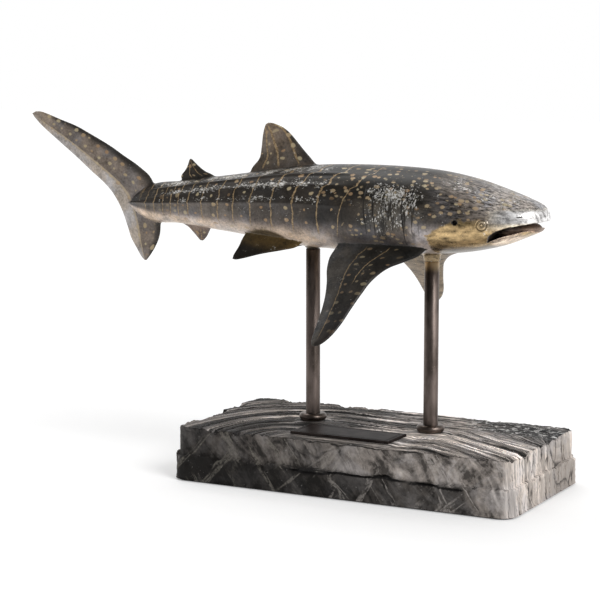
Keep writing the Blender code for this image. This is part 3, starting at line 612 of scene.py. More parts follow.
# %% [markdown]
# ## Bosses, mouth, gills and spiracles
# The casting meets each post in a short flared boss. The mouth is a wedge cut across the snout, and a core
# is put back inside it, so that nothing shows through from side to side. Gill slits are narrow curved cuts,
# the spiracle behind the eye is a small blind hole, and the nostril is a short notch over the mouth. All of
# these are closed shapes for the Booleans.

# %% Bosses and cuts
FRONT_POST_X = 0.0675
REAR_POST_X = -0.0775


def belly_at(x):
    """Height of the lowest point of the body at x."""
    return SWIM_LEVEL + float(section(x)[1])


def spun(profile, x, segments=48):
    """Solid turned about the vertical through x from a (radius, height) profile."""
    bm = bmesh.new()
    chain = [bm.verts.new((radius, 0.0, z)) for radius, z in profile]
    edges = [bm.edges.new(pair) for pair in zip(chain, chain[1:])]
    bmesh.ops.spin(
        bm,
        geom=chain + edges,
        cent=(0, 0, 0),
        axis=(0, 0, 1),
        angle=math.tau,
        steps=segments,
        use_merge=True,
    )
    bmesh.ops.remove_doubles(bm, verts=bm.verts, dist=0.000001)
    bmesh.ops.translate(bm, verts=bm.verts, vec=(x, 0.0, 0.0))
    bmesh.ops.recalc_face_normals(bm, faces=bm.faces)
    return bm


def boss(name, x, drop):
    """Flared boss that ends a drop below the belly."""
    neck, flare, steps_in_flare = 0.009, 0.006, 8
    belly = belly_at(x)
    seat = belly - drop
    start = belly + 0.0035
    profile = [(0.0, belly + 0.016), (neck + flare, belly + 0.016), (neck + flare, start)]
    for k in range(1, steps_in_flare + 1):
        turn = math.pi / 2 * k / steps_in_flare
        profile.append((neck + flare * (1 - math.sin(turn)), start - (drop + 0.0029) * (1 - math.cos(turn))))
    profile += [(0.0084, seat), (0.0, seat)]
    return piece_from(spun(profile, x), name)


forms.append(boss("front_boss", FRONT_POST_X, 0.0085))
forms.append(boss("rear_boss", REAR_POST_X, 0.0025))

LIP_TOP = ((0.1480, -0.0215), (0.1530, -0.0135), (0.1640, -0.0070), (0.1850, -0.0022), (0.2150, 0.0022))
LIP_LOW = ((0.1480, -0.0215), (0.1600, -0.0165), (0.1885, -0.0090), (0.1908, -0.0130), (0.2150, -0.0130))
TOOTH_PITCH_MM = 2.4
TOOTH_HEIGHT = 0.0009
MOUTH_HALF_WIDTH = 0.07


def mouth_edges():
    """Upper and lower edge of the mouth in the side view, the lower one with small teeth."""
    places = np.linspace(LIP_TOP[0][0], LIP_TOP[-1][0], 62)
    top = through(*zip(*LIP_TOP), places)
    low = np.interp(places, *zip(*LIP_LOW))
    tooth = np.abs((places * 1000 / TOOTH_PITCH_MM) % 1.0 - 0.5) * 2
    jag = TOOTH_HEIGHT * tooth * ease(0.156, 0.170, places) * ease(0.188, 0.184, places)
    return places, top, low + jag


mouth_x, mouth_top, mouth_low = mouth_edges()
bm = bmesh.new()
bmesh.ops.create_grid(bm, x_segments=len(mouth_x) - 1, y_segments=1, size=1.0)


def gape(places):
    """Bends a flat strip into the side view of the mouth."""
    k = np.rint((places[:, 0] + 1) / 2 * (len(mouth_x) - 1)).astype(int)
    z = np.where(places[:, 1] > 0, mouth_top[k], mouth_low[k])
    return beside(mouth_x[k], np.full(len(k), -MOUTH_HALF_WIDTH), SWIM_LEVEL + z)


reshaped(bm, gape)
bmesh.ops.remove_doubles(bm, verts=bm.verts, dist=0.00001)
swept = bmesh.ops.extrude_face_region(bm, geom=bm.faces[:])["geom"]
moved = [item for item in swept if isinstance(item, bmesh.types.BMVert)]
bmesh.ops.translate(bm, verts=moved, vec=(0.0, 2 * MOUTH_HALF_WIDTH, 0.0))
bmesh.ops.recalc_face_normals(bm, faces=bm.faces)
cuts = [piece_from(bm, "mouth_cut")]

# x of each gill slit, and its first and last angle
GILL_SLITS = ((0.0135, 54, 108), (0.0245, 56, 110), (0.0355, 72, 99), (0.0460, 71, 100), (0.0590, 64, 118))
GILL_LEAN = 0.004
GILL_HALF_WIDTH = 0.0009
GILL_DEPTH = 0.0024
CUT_LIFT = 0.003
SPIRACLE_X, SPIRACLE_LEVEL = 0.117, -0.001
NOSTRIL_X, NOSTRIL_LEVEL = 0.181, 0.0060


def angle_at(x, level):
    """Angle from the back where the flank passes a level against the swimming level."""
    angles = np.linspace(20.0, 160.0, 1401)
    return float(angles[np.argmin(np.abs(skin(x, angles)[:, 2] - SWIM_LEVEL - level))])


def outward_at(x, angle):
    """Point of the skin and its outward direction."""
    here = skin(x, angle)
    along = skin(x + 0.002, angle) - skin(x - 0.002, angle)
    around = skin(x, angle + 1.0) - skin(x, angle - 1.0)
    out = np.cross(along, around)
    out /= np.linalg.norm(out)
    if out @ (here - np.array((x, 0.0, SWIM_LEVEL))) < 0:
        out = -out
    return Vector(here), Vector(out)


def gill_cut(name, side_of):
    """Five curved blades, each a grid bent into a closed sliver that follows the skin."""
    bm = bmesh.new()
    for x, first, last in GILL_SLITS:
        start = len(bm.verts)
        bmesh.ops.create_grid(bm, x_segments=3, y_segments=16, size=1.0)
        bm.verts.ensure_lookup_table()
        for vertex in bm.verts[start:]:
            share = (vertex.co.y + 1) / 2
            corner = round((vertex.co.x + 1) / 2 * 3) % 3
            swell = math.sin(math.pi * (0.06 + 0.88 * share))
            angle = first + (last - first) * share
            seen = angle if side_of < 0 else 360.0 - angle
            place = x + GILL_LEAN * (share - 0.5) + 0.0008 * math.sin(9.0 * share + 40.0 * x)
            shift = (-1, 1, 0)[corner] * GILL_HALF_WIDTH * swell
            lift = (CUT_LIFT, CUT_LIFT, -GILL_DEPTH * swell)[corner]
            vertex.co = skin(place + shift, seen, lift)
    closed_up(bm)
    return piece_from(bm, name)


for label, side_of in SIDES:
    cuts.append(gill_cut(f"{label}_gill_cut", side_of))
    for part, x, level, radius in (
        ("spiracle", SPIRACLE_X, SPIRACLE_LEVEL, 0.0026), ("nostril", NOSTRIL_X, NOSTRIL_LEVEL, 0.0006),
    ):
        angle = angle_at(x, level)
        angle = angle if side_of < 0 else 360.0 - angle
        here, out = outward_at(x, angle)
        bm = bmesh.new()
        bmesh.ops.create_uvsphere(bm, u_segments=24, v_segments=14, radius=radius)
        stretch = (1.0, 1.0, 1.6) if part == "spiracle" else (7.0, 1.0, 1.0)
        bmesh.ops.scale(bm, verts=bm.verts, vec=stretch)
        if part == "spiracle":
            turn = Vector((0, 0, 1)).rotation_difference(out).to_matrix()
        else:
            ahead = Vector(skin(x + 0.004, angle)) - here
            turn = Vector((1, 0, 0)).rotation_difference(ahead.normalized()).to_matrix()
        bmesh.ops.rotate(bm, verts=bm.verts, cent=(0, 0, 0), matrix=turn)
        bmesh.ops.translate(bm, verts=bm.verts, vec=here)
        cuts.append(piece_from(bm, f"{label}_{part}_cut"))

bm = bmesh.new()
bmesh.ops.create_uvsphere(bm, u_segments=40, v_segments=24, radius=1.0)
bmesh.ops.scale(bm, verts=bm.verts, vec=(0.040, 0.029, 0.0095))
bmesh.ops.translate(bm, verts=bm.verts, vec=(0.1525, 0.0, SWIM_LEVEL - 0.0085))
mouth_core = piece_from(bm, "mouth_core")
print("cuts:", [cut.name for cut in cuts])

# %% [markdown]
# ## One casting
# The fins and bosses are joined to the body and the cuts are taken out with exact Booleans, so that the
# casting is one closed surface. Each form brings its own material index, which tells afterwards which faces
# came from which form. Then the corners where a fin leaves the body are softened like the fillets of a wax
# model.

# %% Join
CUT_MARK = len(forms) + 1
CORE_MARK = len(forms) + 2
marks = [bpy.data.materials.new(f"mark_{k}") for k in range(CORE_MARK + 1)]


def marked(piece, index):
    """Gives all faces of a piece the material index that tells where they came from."""
    for one in marks:
        piece.data.materials.append(one)
    piece.data.polygons.foreach_set("material_index", np.full(len(piece.data.polygons), index, np.int32))


for k, piece in enumerate([casting, *forms]):
    marked(piece, k)
for cut in cuts:
    marked(cut, CUT_MARK)
marked(mouth_core, CORE_MARK)


def gathered(name, members):
    """Collection of objects, which one Boolean takes at once."""
    made = bpy.data.collections.new(name)
    for member in members:
        made.objects.link(member)
    return made


for name, members, operation in (
    ("forms", forms, "UNION"),
    ("cuts", cuts, "DIFFERENCE"),
    ("core", [mouth_core], "UNION"),
):
    step = casting.modifiers.new(name, "BOOLEAN")
    step.operation = operation
    step.solver = "EXACT"
    step.operand_type = "COLLECTION"
    step.collection = gathered(name, members)
shell = bpy.data.meshes.new_from_object(casting.evaluated_get(bpy.context.evaluated_depsgraph_get()))
casting.modifiers.clear()
casting.data = shell
shell.name = "whale_shark"
for old in forms + cuts + [mouth_core]:
    bpy.data.objects.remove(old, do_unlink=True)
print("casting faces:", len(shell.polygons))

# %% Soften the roots of the fins
bm = bmesh.new()
bm.from_mesh(shell)
bmesh.ops.remove_doubles(bm, verts=bm.verts, dist=0.00002)
root_marks = set(range(1, CUT_MARK))
seam = set()
for edge in bm.edges:
    kinds = {face.material_index for face in edge.link_faces}
    if len(kinds) > 1 and kinds & root_marks and CUT_MARK not in kinds:
        seam.update(edge.verts)
widening = [seam]
for _ in range(4):
    wider = {edge.other_vert(vertex) for vertex in widening[-1] for edge in vertex.link_edges}
    widening.append(widening[-1] | wider)
for band, times in zip(widening[::-1], (2, 2, 3, 3, 3)):
    for _ in range(times):
        bmesh.ops.smooth_vert(
            bm, verts=list(band), factor=0.5, use_axis_x=True, use_axis_y=True, use_axis_z=True
        )
bmesh.ops.triangulate(bm, faces=[face for face in bm.faces if len(face.verts) > 4])
seam_places = np.array([vertex.co[:] for vertex in seam])
open_edges = sum(not edge.is_manifold for edge in bm.edges)
bm.to_mesh(shell)
bm.free()
print("seam points:", len(seam_places), "open edges:", open_edges)

# %% [markdown]
# ## Where the pattern goes
# Whale sharks carry lines across the back with a spot in each gap. On the casting they are gilt. The lines
# could be modelled one by one, but a pattern coordinate is easier to steer: its first number rises by one
# from line to line and its second by one from row to row of spots. The coordinate is stored on the points
# of the mesh together with the size of a cell in millimetres, so the shader can draw round spots in it.

# %% Pattern on the body
LINES_AT = np.array((
    -0.300, -0.288, -0.274, -0.2605, -0.2490, -0.2376, -0.2227, -0.2026, -0.1795, -0.1576, -0.1339, -0.1052,
    -0.0764, -0.0442, -0.0086,
))
HEAD_CELL = 0.0135
count = len(shell.vertices)
where = np.empty(count * 3)
shell.vertices.foreach_get("co", where)
where = where.reshape(-1, 3)
mark = np.zeros(count, int)
for polygon in shell.polygons:
    for vertex in polygon.vertices:
        mark[vertex] = max(mark[vertex], polygon.material_index)
x, y, z = where.T
back, belly, half_width, level = section(x)
folded = np.degrees(np.arctan2(np.abs(y), z - SWIM_LEVEL - level))
over_ridge = np.clip(1 - folded / RIDGES[-1], 0.0, 1.0)
kink = 0.25 * ease(62, 57, folded) + 0.35 * ease(43, 37, folded) + 0.4 * over_ridge
lean = kink * (0.008 + 0.020 * ease(-0.150, -0.030, x))
lean -= np.clip((folded - 60.0) / 45.0, 0.0, 1.3) * 0.013 * ease(-0.045, -0.010, x)
straight = x - lean
number = np.arange(len(LINES_AT))
phase = np.interp(straight, LINES_AT, number)
gap_mm = np.interp(straight, (LINES_AT[1:] + LINES_AT[:-1]) / 2, np.diff(LINES_AT) * 1000)
beyond = straight > LINES_AT[-1]
phase = np.where(beyond, number[-1] + (straight - LINES_AT[-1]) / HEAD_CELL, phase)
gap_mm = gap_mm + ease(-0.012, 0.004, straight) * (HEAD_CELL * 1000 - gap_mm)
cell = np.interp(folded, (0.0, 20.0, *RIDGES, 98.0, 115.0, 135.0, 180.0), (0, 1, 2, 3, 4, 5, 6, 7, 9))
row_degrees = np.interp(folded, (10, 30, 50, 70, 90, 106, 125, 160), (20, 20, 19, 22, 17, 17, 20, 22))
radius = np.hypot(y, z - SWIM_LEVEL - level)
row_mm = np.radians(row_degrees) * radius * 1000
pattern = beside(phase, np.sign(y) * cell, np.zeros(count))
pitch = beside(gap_mm, row_mm, np.ones(count))
lines = (1 - ease(LINES_AT[-1] + 0.004, LINES_AT[-1] + 0.006, straight)) * ease(122, 108, folded)
lines *= ease(-0.302, -0.290, x)
spots = ease(128, 118, folded) * ease(-0.30, -0.20, x) * ease(0.186, 0.176, x)
scatter = 0.30 + 0.55 * ease(-0.004, 0.006, straight)
print("lines:", len(LINES_AT), "from", LINES_AT[0], "to", LINES_AT[-1])


# %% Pattern on the fins
def across_and_along(name):
    """Share of the chord, share of the span and chord length at each point that came from a fin."""
    outline, run, place = fin_shapes[name]
    flat = place(np.array((0.0, 1.0, 0.0)), np.array((0.0, 0.0, 1.0)), np.zeros(3))
    axes = flat[1:] - flat[0]
    local = where[mark == marks_of[name]] - flat[0]
    ab = np.linalg.lstsq(axes.T, local.T, rcond=None)[0].T
    spans = np.linspace(0.0, 1.0, 240)
    corner = np.stack([through(run, outline[:, k], spans) for k in range(4)], axis=-1)
    best = np.full(len(ab), 1e9)
    share, span, chord = np.zeros((3, len(ab)))
    for s, ends in zip(spans, corner):
        line = ends[2:] - ends[:2]
        length = float(np.hypot(*line))
        offset = ab - ends[:2]
        t = offset @ line / max(length, 1e-9) ** 2
        miss = np.abs(offset[:, 0] * line[1] - offset[:, 1] * line[0]) / max(length, 1e-9)
        miss = miss + np.maximum(0, np.abs(t - 0.5) - 0.5) * length
        nearer = miss < best
        best[nearer] = miss[nearer]
        share[nearer] = t[nearer]
        span[nearer] = s
        chord[nearer] = length
    total = float(np.linalg.norm(np.diff((corner[:, :2] + corner[:, 2:]) / 2, axis=0), axis=1).sum())
    return np.clip(share, 0, 1), span, chord, total


marks_of = {name: k for k, name in enumerate(fin_shapes, 1)}
crease, fin_share, fin_span = np.zeros((3, count))
TAIL_CELL_MM = 12.5
TAIL_ROWS = 3.7
CELLS_APART = 40.0
pectoral_keys = ((0.0, 0.36, 0.63, 1.0), (-1.6, 0.0, 1.0, 2.6), 13.0)
fin_line_keys = {
    "first_dorsal": ((0.0, 0.22, 0.55, 0.80, 1.0), (-0.7, 0.0, 1.0, 2.0, 2.7), 12.0),
    "second_dorsal": ((0.0, 0.32, 0.66, 1.0), (-0.9, 0.0, 1.0, 1.9), 9.0),
    "anal_fin": ((0.0, 0.35, 0.70, 1.0), (-0.9, 0.0, 1.0, 1.9), 9.0),
    "near_pectoral": pectoral_keys,
    "far_pectoral": pectoral_keys,
}
for name in fin_shapes:
    chosen = mark == marks_of[name]
    share, span, chord, total = across_and_along(name)
    fin_share[chosen] = share
    fin_span[chosen] = span
    offset = CELLS_APART * marks_of[name]
    lines[chosen] = 0.0
    if "pelvic" in name:
        spots[chosen] = 0.0
        continue
    if name == "caudal_fin":
        row = (share - 0.36) * TAIL_ROWS + 0.5 + offset
        pattern[chosen] = beside(span * total * 1000 / TAIL_CELL_MM, row, 0 * share)
        pitch[chosen] = beside(0 * share + TAIL_CELL_MM, chord * 1000 / TAIL_ROWS, 0 * share + 1)
        spots[chosen] = ease(0.80, 0.66, share) * ease(0.02, 0.08, span) * ease(0.99, 0.95, span)
        crease[chosen] = share
        scatter[chosen] = 0.45
        continue
    keys, values, along_mm = fin_line_keys[name]
    if name == "first_dorsal":
        share = share + 0.17 * ease(0.25, 0.85, span) * ease(0.5, 0.2, share)
    across = np.interp(share, keys, values)
    pattern[chosen] = beside(across + offset, span * total * 1000 / along_mm, 0 * share)
    slope = np.interp(share, keys[:-1], np.diff(keys) / np.diff(values))
    pitch[chosen] = beside(chord * 1000 * slope, 0 * share + along_mm, 0 * share + 1)
    if "pectoral" in name:
        lines[chosen] = np.where(across < 0.5, 0.7 * ease(0.50, 0.42, span) * ease(-0.5, -0.4, across), 0.50)
        lines[chosen] *= ease(0.97, 0.85, span) * ease(1.5, 1.4, across)
        fewer = 0.40 - 0.20 * ease(0.40, 0.70, span)
        spots[chosen] = ease(1.45, 1.2, across) * ease(0.95, 0.85, span) * fewer
        scatter[chosen] = 0.35
    else:
        weight = 2.0 if name == "first_dorsal" else 1.0
        lines[chosen] = weight * ease(0.98, 0.9, span) * ease(-0.5, -0.3, across)
        spots[chosen] = ease(0.95, 0.85, span)
        scatter[chosen] = 0.5
BOSS_MARK = len(fin_shapes) + 1
lines[mark >= BOSS_MARK] = 0.0
spots[mark >= BOSS_MARK] = 0.0
print("fin points:", int((mark > 0).sum()))

# %% [markdown]
# ## Where the finish changes
# A foundry patinates the whole casting black-brown and then polishes it back by hand. The belly and the
# lower face are polished to bright bronze, and the crests of the ridges and the folds of the gills are worn
# to bare metal, with painted glints among the worn marks. The flank under the lowest ridge is lighter, which
# is painted reflection of the floor, and the nose carries a painted highlight. Each of these is a
# number from 0 to 1 on the points of the mesh.

# %% Zones
# Distance to the seams, where the gilt pattern stops
seam_tree = kdtree.KDTree(len(seam_places))
for k, place in enumerate(seam_places):
    seam_tree.insert(place, k)
seam_tree.balance()
near_seam = np.array([seam_tree.find(point)[2] for point in where])
clear = ease(0.0015, 0.0035, near_seam)
lines *= clear
spots *= clear

on_body = mark == 0
body = on_body.astype(float)
rel = z - SWIM_LEVEL

# Bare metal: the face, the belly, the bosses and the far pectoral fin, and a painted highlight on the nose
face_edge = np.clip((0.001 - rel) / 0.017, -0.3, 1.0)
face = ease(-0.005, 0.010, np.minimum(0.0035 - rel, x - (0.112 - 0.029 * face_edge)))
# Band on the nose that carries the painted highlight
nose_highlight = ease(0.138, 0.170, x) * ease(-0.003, 0.001, rel) * ease(0.0165, 0.0100, rel)
belly_bare = ease(128, 160, folded) * (0.45 + 0.4 * ease(-0.070, 0.010, x)) * ease(0.10, 0.06, x)
polished = np.maximum(np.maximum(face, nose_highlight), belly_bare) * body
polished[mark == marks_of["far_pectoral"]] = 0.85
polished[mark == BOSS_MARK] = 0.8
polished[mark == BOSS_MARK + 1] = 0.55

# Worn crests, the folds of the gills and a little wear elsewhere, which also carry painted glints
worn = np.zeros(count)
for at, width, strength in ((24.0, 15.0, 1.1), (55.0, 9.0, 1.10), (75.0, 6.0, 0.85)):
    worn = np.maximum(worn, strength * np.clip(1.3 - np.abs(folded - at) / width, 0, 1))
worn *= ease(-0.300, -0.250, x) * (0.30 + 0.70 * ease(-0.010, -0.070, x)) * ease(0.045, 0.005, x)
worn *= 1 - ease(38, 46, folded) * ease(-0.050, -0.010, x)
gills = ease(-0.010, 0.038, x) * ease(0.102, 0.056, x) * ease(28, 64, folded) * ease(127, 94, folded)
worn = np.maximum(worn, gills * (1.22 - 0.30 * ease(72, 100, folded)))
worn = np.maximum(worn, 0.66 * ease(0.060, 0.110, x) * ease(84, 50, folded))
worn = np.maximum(worn, 0.22 * ease(110, 95, folded))
worn = np.where(on_body, worn, 0.16)
snout = body * ease(0.050, 0.120, x) * ease(92, 66, folded)

# %% Tones
tone = np.tile(np.array((0.034, 0.030, 0.026)), (count, 1))
bare_tone = np.tile(np.array((0.530, 0.375, 0.190)), (count, 1))


def tint(values, share, colour):
    """Moves an array of colours towards a colour by shares from 0 to 1."""
    share = np.clip(share, 0.0, 1.0)[:, None]
    values[:] = values + share * (np.array(colour) - values)


fairing = np.hypot((x + 0.120) / 0.036, (rel + 0.044) / 0.024)
for share, colour in (
    (ease(0.050, 0.115, x), (0.085, 0.075, 0.067)),
    # Lighter head top and snout top: partly lighter patina, partly painted sheen
    (ease(0.060, 0.120, x) * ease(74, 40, folded), (0.145, 0.132, 0.122)),
    (ease(0.120, 0.165, x) * ease(88, 55, folded), (0.300, 0.285, 0.275)),
    (gills, (0.080, 0.074, 0.064)),
    # Darker back between the first dorsal fin and the gills: painted shade
    (ease(-0.070, -0.020, x) * ease(0.105, 0.070, x) * ease(80, 66, folded), (0.018, 0.016, 0.013)),
    # Lighter grey below the lowest ridge, on the lower flank and on the cheek, with less of it in a strip
    # above the belly: painted reflection of the floor
    (ease(79.5, 83.5, folded) * ease(-0.040, -0.110, x), (0.078, 0.070, 0.064)),
    (ease(80, 86, folded) * ease(-0.120, -0.190, x), (0.135, 0.124, 0.114)),
    (ease(96, 118, folded) * ease(0.130, 0.090, x), (0.220, 0.192, 0.180)),
    (ease(84, 104, folded) * ease(0.050, 0.078, x), (0.480, 0.435, 0.415)),
    (ease(96, 108, folded) * ease(-0.045, -0.015, x) * ease(0.078, 0.055, x), (0.095, 0.086, 0.082)),
    (ease(105, 126, folded) * ease(0.000, -0.060, x), (0.660, 0.550, 0.450)),
    (ease(1.05, 0.92, fairing) * 0.9, (0.060, 0.045, 0.018)),
):
    tint(tone, body * share, colour)

# Bare bronze: under the jaw, along the eye line, the upper lip, the lower lip and the belly behind, and a
# near-white painted highlight on the nose
under_jaw = ease(109, 124, folded) * ease(0.165, 0.145, x)
tint(bare_tone, under_jaw * ease(0.06, 0.10, x), (0.100, 0.068, 0.034))
tint(bare_tone, ease(0.004, -0.004, np.abs(rel) - 0.004) * ease(0.145, 0.120, x), (0.300, 0.215, 0.100))
tint(bare_tone, ease(0.135, 0.165, x) * ease(-0.012, -0.002, rel), (0.850, 0.740, 0.580))
lip_low = np.interp(x, *zip(*LIP_LOW))
on_lip = ease(0.148, 0.156, x) * ease(0.184, 0.174, x) * ease(-0.0085, -0.0050, rel - lip_low)
tint(bare_tone, on_lip * ease(0.002, 0.0, rel - lip_low), (0.820, 0.640, 0.490))
# The near-white on the nose is a painted highlight, drawn as polished bare metal
tint(bare_tone, nose_highlight, (0.880, 0.860, 0.850))
tint(bare_tone, ease(0.080, 0.030, x), (0.560, 0.460, 0.340))

# Fins, from root to tip
for name, root, tip in (
    # The first dorsal fin lightens towards its tip: partly its patina, partly painted reflection of the
    # backdrop
    ("first_dorsal", (0.072, 0.060, 0.048), (0.240, 0.190, 0.145)),
    ("second_dorsal", (0.022, 0.020, 0.016), (0.045, 0.038, 0.030)),
    ("anal_fin", (0.250, 0.205, 0.180), (0.190, 0.155, 0.135)),
    ("near_pectoral", (0.016, 0.015, 0.012), (0.024, 0.021, 0.019)),
    ("near_pelvic", (0.095, 0.062, 0.020), (0.011, 0.009, 0.006)),
    ("far_pelvic", (0.095, 0.062, 0.020), (0.011, 0.009, 0.006)),
    ("caudal_fin", (0.215, 0.185, 0.160), (0.190, 0.165, 0.145)),
):
    chosen = mark == marks_of[name]
    along_fin = fin_span[chosen]
    if "pelvic" in name:
        along_fin = ease(0.10, 0.62, along_fin + 0.25 * (fin_share[chosen] - 0.5))
    elif name == "first_dorsal":
        along_fin = along_fin ** 1.6
    tone[chosen] = np.array(root) + along_fin[:, None] * (np.array(tip) - np.array(root))
# Lighter rear part of the near pectoral fin: painted sheen
tint(tone, (mark == marks_of["near_pectoral"]) * ease(0.50, 0.85, fin_share), (0.065, 0.062, 0.058))
tint(tone, (mark == marks_of["first_dorsal"]) * ease(0.16, 0.02, fin_share), (0.045, 0.038, 0.032))
on_tail = mark == marks_of["caudal_fin"]
tint(tone, on_tail * ease(0.30, 0.05, fin_share), (0.040, 0.036, 0.032))
# Pale rear strip of the tail fin: painted reflection of the white floor
tint(tone, on_tail * ease(0.62, 0.72, fin_share), (0.430, 0.395, 0.360))
tint(tone, on_tail * ease(0.96, 1.0, fin_span) * 0.6, (0.150, 0.130, 0.110))
tint(tone, on_tail * ease(0.16, 0.02, fin_span), (0.340, 0.290, 0.240))
bare_tone[mark == marks_of["far_pectoral"]] = (0.215, 0.165, 0.112)
bare_tone[mark >= BOSS_MARK] = (0.290, 0.215, 0.125)

# Cut faces and the core of the mouth, which are dark but for the edge of the lower lip. Their near black is
# patina in the hollows and partly painted shade, and the browner tones on the upper cut and the front of the
# core are painted light that lifts that shade
cut_face = mark == CUT_MARK
tone[cut_face] = (0.012, 0.010, 0.008)
tint(tone, cut_face * (x > 0.165) * (rel > 0.002), (0.110, 0.085, 0.060))
lip_level = lip_low + 0.0022
tint(tone, cut_face * (x > 0.150) * (rel < lip_level), (0.620, 0.450, 0.330))
tint(tone, cut_face * ease(0.156, 0.168, x) * (rel >= lip_level) * (rel < 0.004), (0.120, 0.085, 0.060))
in_mouth = mark == CORE_MARK
tone[in_mouth] = (0.010, 0.008, 0.006)
tint(tone, in_mouth * ease(0.0030, 0.0010, rel - lip_level) * ease(0.155, 0.165, x), (0.600, 0.430, 0.320))
tint(tone, in_mouth * ease(0.162, 0.172, x) * ease(0.0060, 0.0040, rel - lip_level), (0.230, 0.165, 0.125))
polished[mark >= CUT_MARK] = 0.0


def store(mesh, **arrays):
    """Keeps arrays on the points of a mesh, as numbers or as vectors."""
    for name, values in arrays.items():
        kind, field = ("FLOAT", "value") if values.ndim == 1 else ("FLOAT_VECTOR", "vector")
        attribute = mesh.attributes.new(name, kind, "POINT")
        attribute.data.foreach_set(field, np.ascontiguousarray(values, np.float32).ravel())


on_back = 0.9 * ease(-0.062, -0.040, straight) * ease(78, 68, folded)
head_start = np.maximum(ease(-0.002, 0.010, straight), on_back)
head_spots = body * head_start * ease(0.180, 0.165, x) * ease(124, 112, folded) * clear
head_spots *= ease(0.0045, 0.0075, np.hypot(x - SPIRACLE_X, rel - SPIRACLE_LEVEL))
head_spots *= 1 - ease(0.35, 0.65, np.maximum(face, nose_highlight))
spots *= 1 - ease(-0.006, 0.004, straight) * body
store(
    shell, pattern=pattern, pitch=pitch, tone=tone, bare_tone=bare_tone, lines=lines, spots=spots,
    head_spots=head_spots, scatter=scatter, polished=polished, worn=worn, gills=gills * body, snout=snout,
    crease=crease,
)
shell.materials.clear()
shell.polygons.foreach_set("material_index", np.zeros(len(shell.polygons), np.int32))
print("polished share:", round(float(polished.mean()), 3), "mean tone:", tone.mean(axis=0).round(3))

# %% [markdown]
# ## Patinated bronze
# The casting is one metal under a patina of changing thickness. A thick patina is a dull dark oxide, so it
# is shaded mostly as a plain surface, and bare bronze as metal. The tones come from the points, and some of
# them are painted sheen, reflection and shade; noise breaks up every border. The gilt lines lie where the
# pattern coordinate is whole, and the spots lie where a cell point of a Voronoi texture is near. Small bumps
# give the hammered skin.

# %% Bronze
bronze, tree, shader, place = finish("patinated bronze")
grain = fractal(place, 55.0, 4.0)
fine = fractal(place, 420.0, 3.0, 0.6)
pits = fractal(place, 900.0, 2.0, 0.5)
streaks = fractal(place, 1.0, 3.0, 0.6, (85.0, 480.0, 480.0))

uneven = grain * 2.0 + (fine - 0.5) * 1.5 + (streaks - 0.5) * read("snout") * 6.0
oxide = steps(fractal(place, 34.0, 3.0, 0.6), 0.40, 0.62)
oxide = mixed(oxide, (1.06, 0.99, 0.92, 1), (0.96, 0.985, 1.06, 1))
oxide = vector_sums("MULTIPLY", oxide, read("tone", "Vector"))
colour = scaled(oxide, highest(uneven, 0.15))

ragged = fractal(place, 1.0, 4.0, 0.6, (130.0, 230.0, 230.0))
edge = (fine - 0.5) * 0.30 + read("polished") + (ragged - 0.5) * 1.3 + (grain - 0.5) * 0.9
bright = steps(edge, 0.25, 0.70)
rubbed = fractal(place, 1.0, 4.0, 0.6, (70.0, 210.0, 210.0))
rub_share = rubbed * 3.2 - 0.70 + (fine - 0.5) * 1.1
bare_and_highlight = scaled(read("bare_tone", "Vector"), highest(rub_share, 0.12))
colour = mixed(bright, colour, bare_and_highlight)
speck = steps(pits, 0.61, 0.68) * steps(rubbed, 0.56, 0.44) * bright
colour = mixed(speck * 0.7, colour, (0.07, 0.045, 0.02, 1))

# %% Gilt lines and spots
pattern_at = read("pattern", "Vector")
pitch_at = read("pitch", "Vector")
wander = vector_sums("SUBTRACT", fractal(place, 95.0, 2.0, 0.5, output="Color"), (0.5, 0.5, 0.5))
shaken = vector_sums("MULTIPLY_ADD", wander, (0.22, 0.20, 0.0), pattern_at)
line_at = split_up(shaken)[0]
gap = split_up(pitch_at)[0]
line_mm = abs(line_at - sums("ROUND", line_at)) * gap
lines_in = read("lines")
line_half = gap * 0.018 + fine * 0.8 + 0.04 + highest(lines_in - 1.0, 0.0) * 0.6
line = steps(line_half - line_mm, -0.15, 0.35) * lowest(lines_in, 1.0) * steps(grain, 0.20, 0.36)


def dabbed(radius_mm, away_mm, kept, share):
    """Round dabs with a soft edge, of which a share is left out by chance."""
    return steps(radius_mm - away_mm, -0.3, 0.5) * share * steps(kept[0], kept[1], kept[1] + 0.10)


centred = vector_sums("SUBTRACT", shaken, (0.5, 0.5, 0.0))
cells = add(
    "TexVoronoi", {"Vector": centred, "Scale": 1.0, "Randomness": read("scatter")}, voronoi_dimensions="2D"
).outputs
apart = vector_sums("MULTIPLY", vector_sums("SUBTRACT", centred, Flow(cells["Position"])), pitch_at)
apart = vector_sums("MULTIPLY", apart, (0.8, 1.0, 0.0))
spot_mm = (fine - 0.5) * 2.2 + vector_sums("LENGTH", apart, output="Value")
red, green, blue = split_up(Flow(cells["Color"]), "Color")
spot = dabbed(red * 1.3 + 1.2, spot_mm, (green, 0.10), read("spots"))
gilt = mixed(blue, (0.38, 0.235, 0.125, 1), (0.54, 0.46, 0.29, 1))

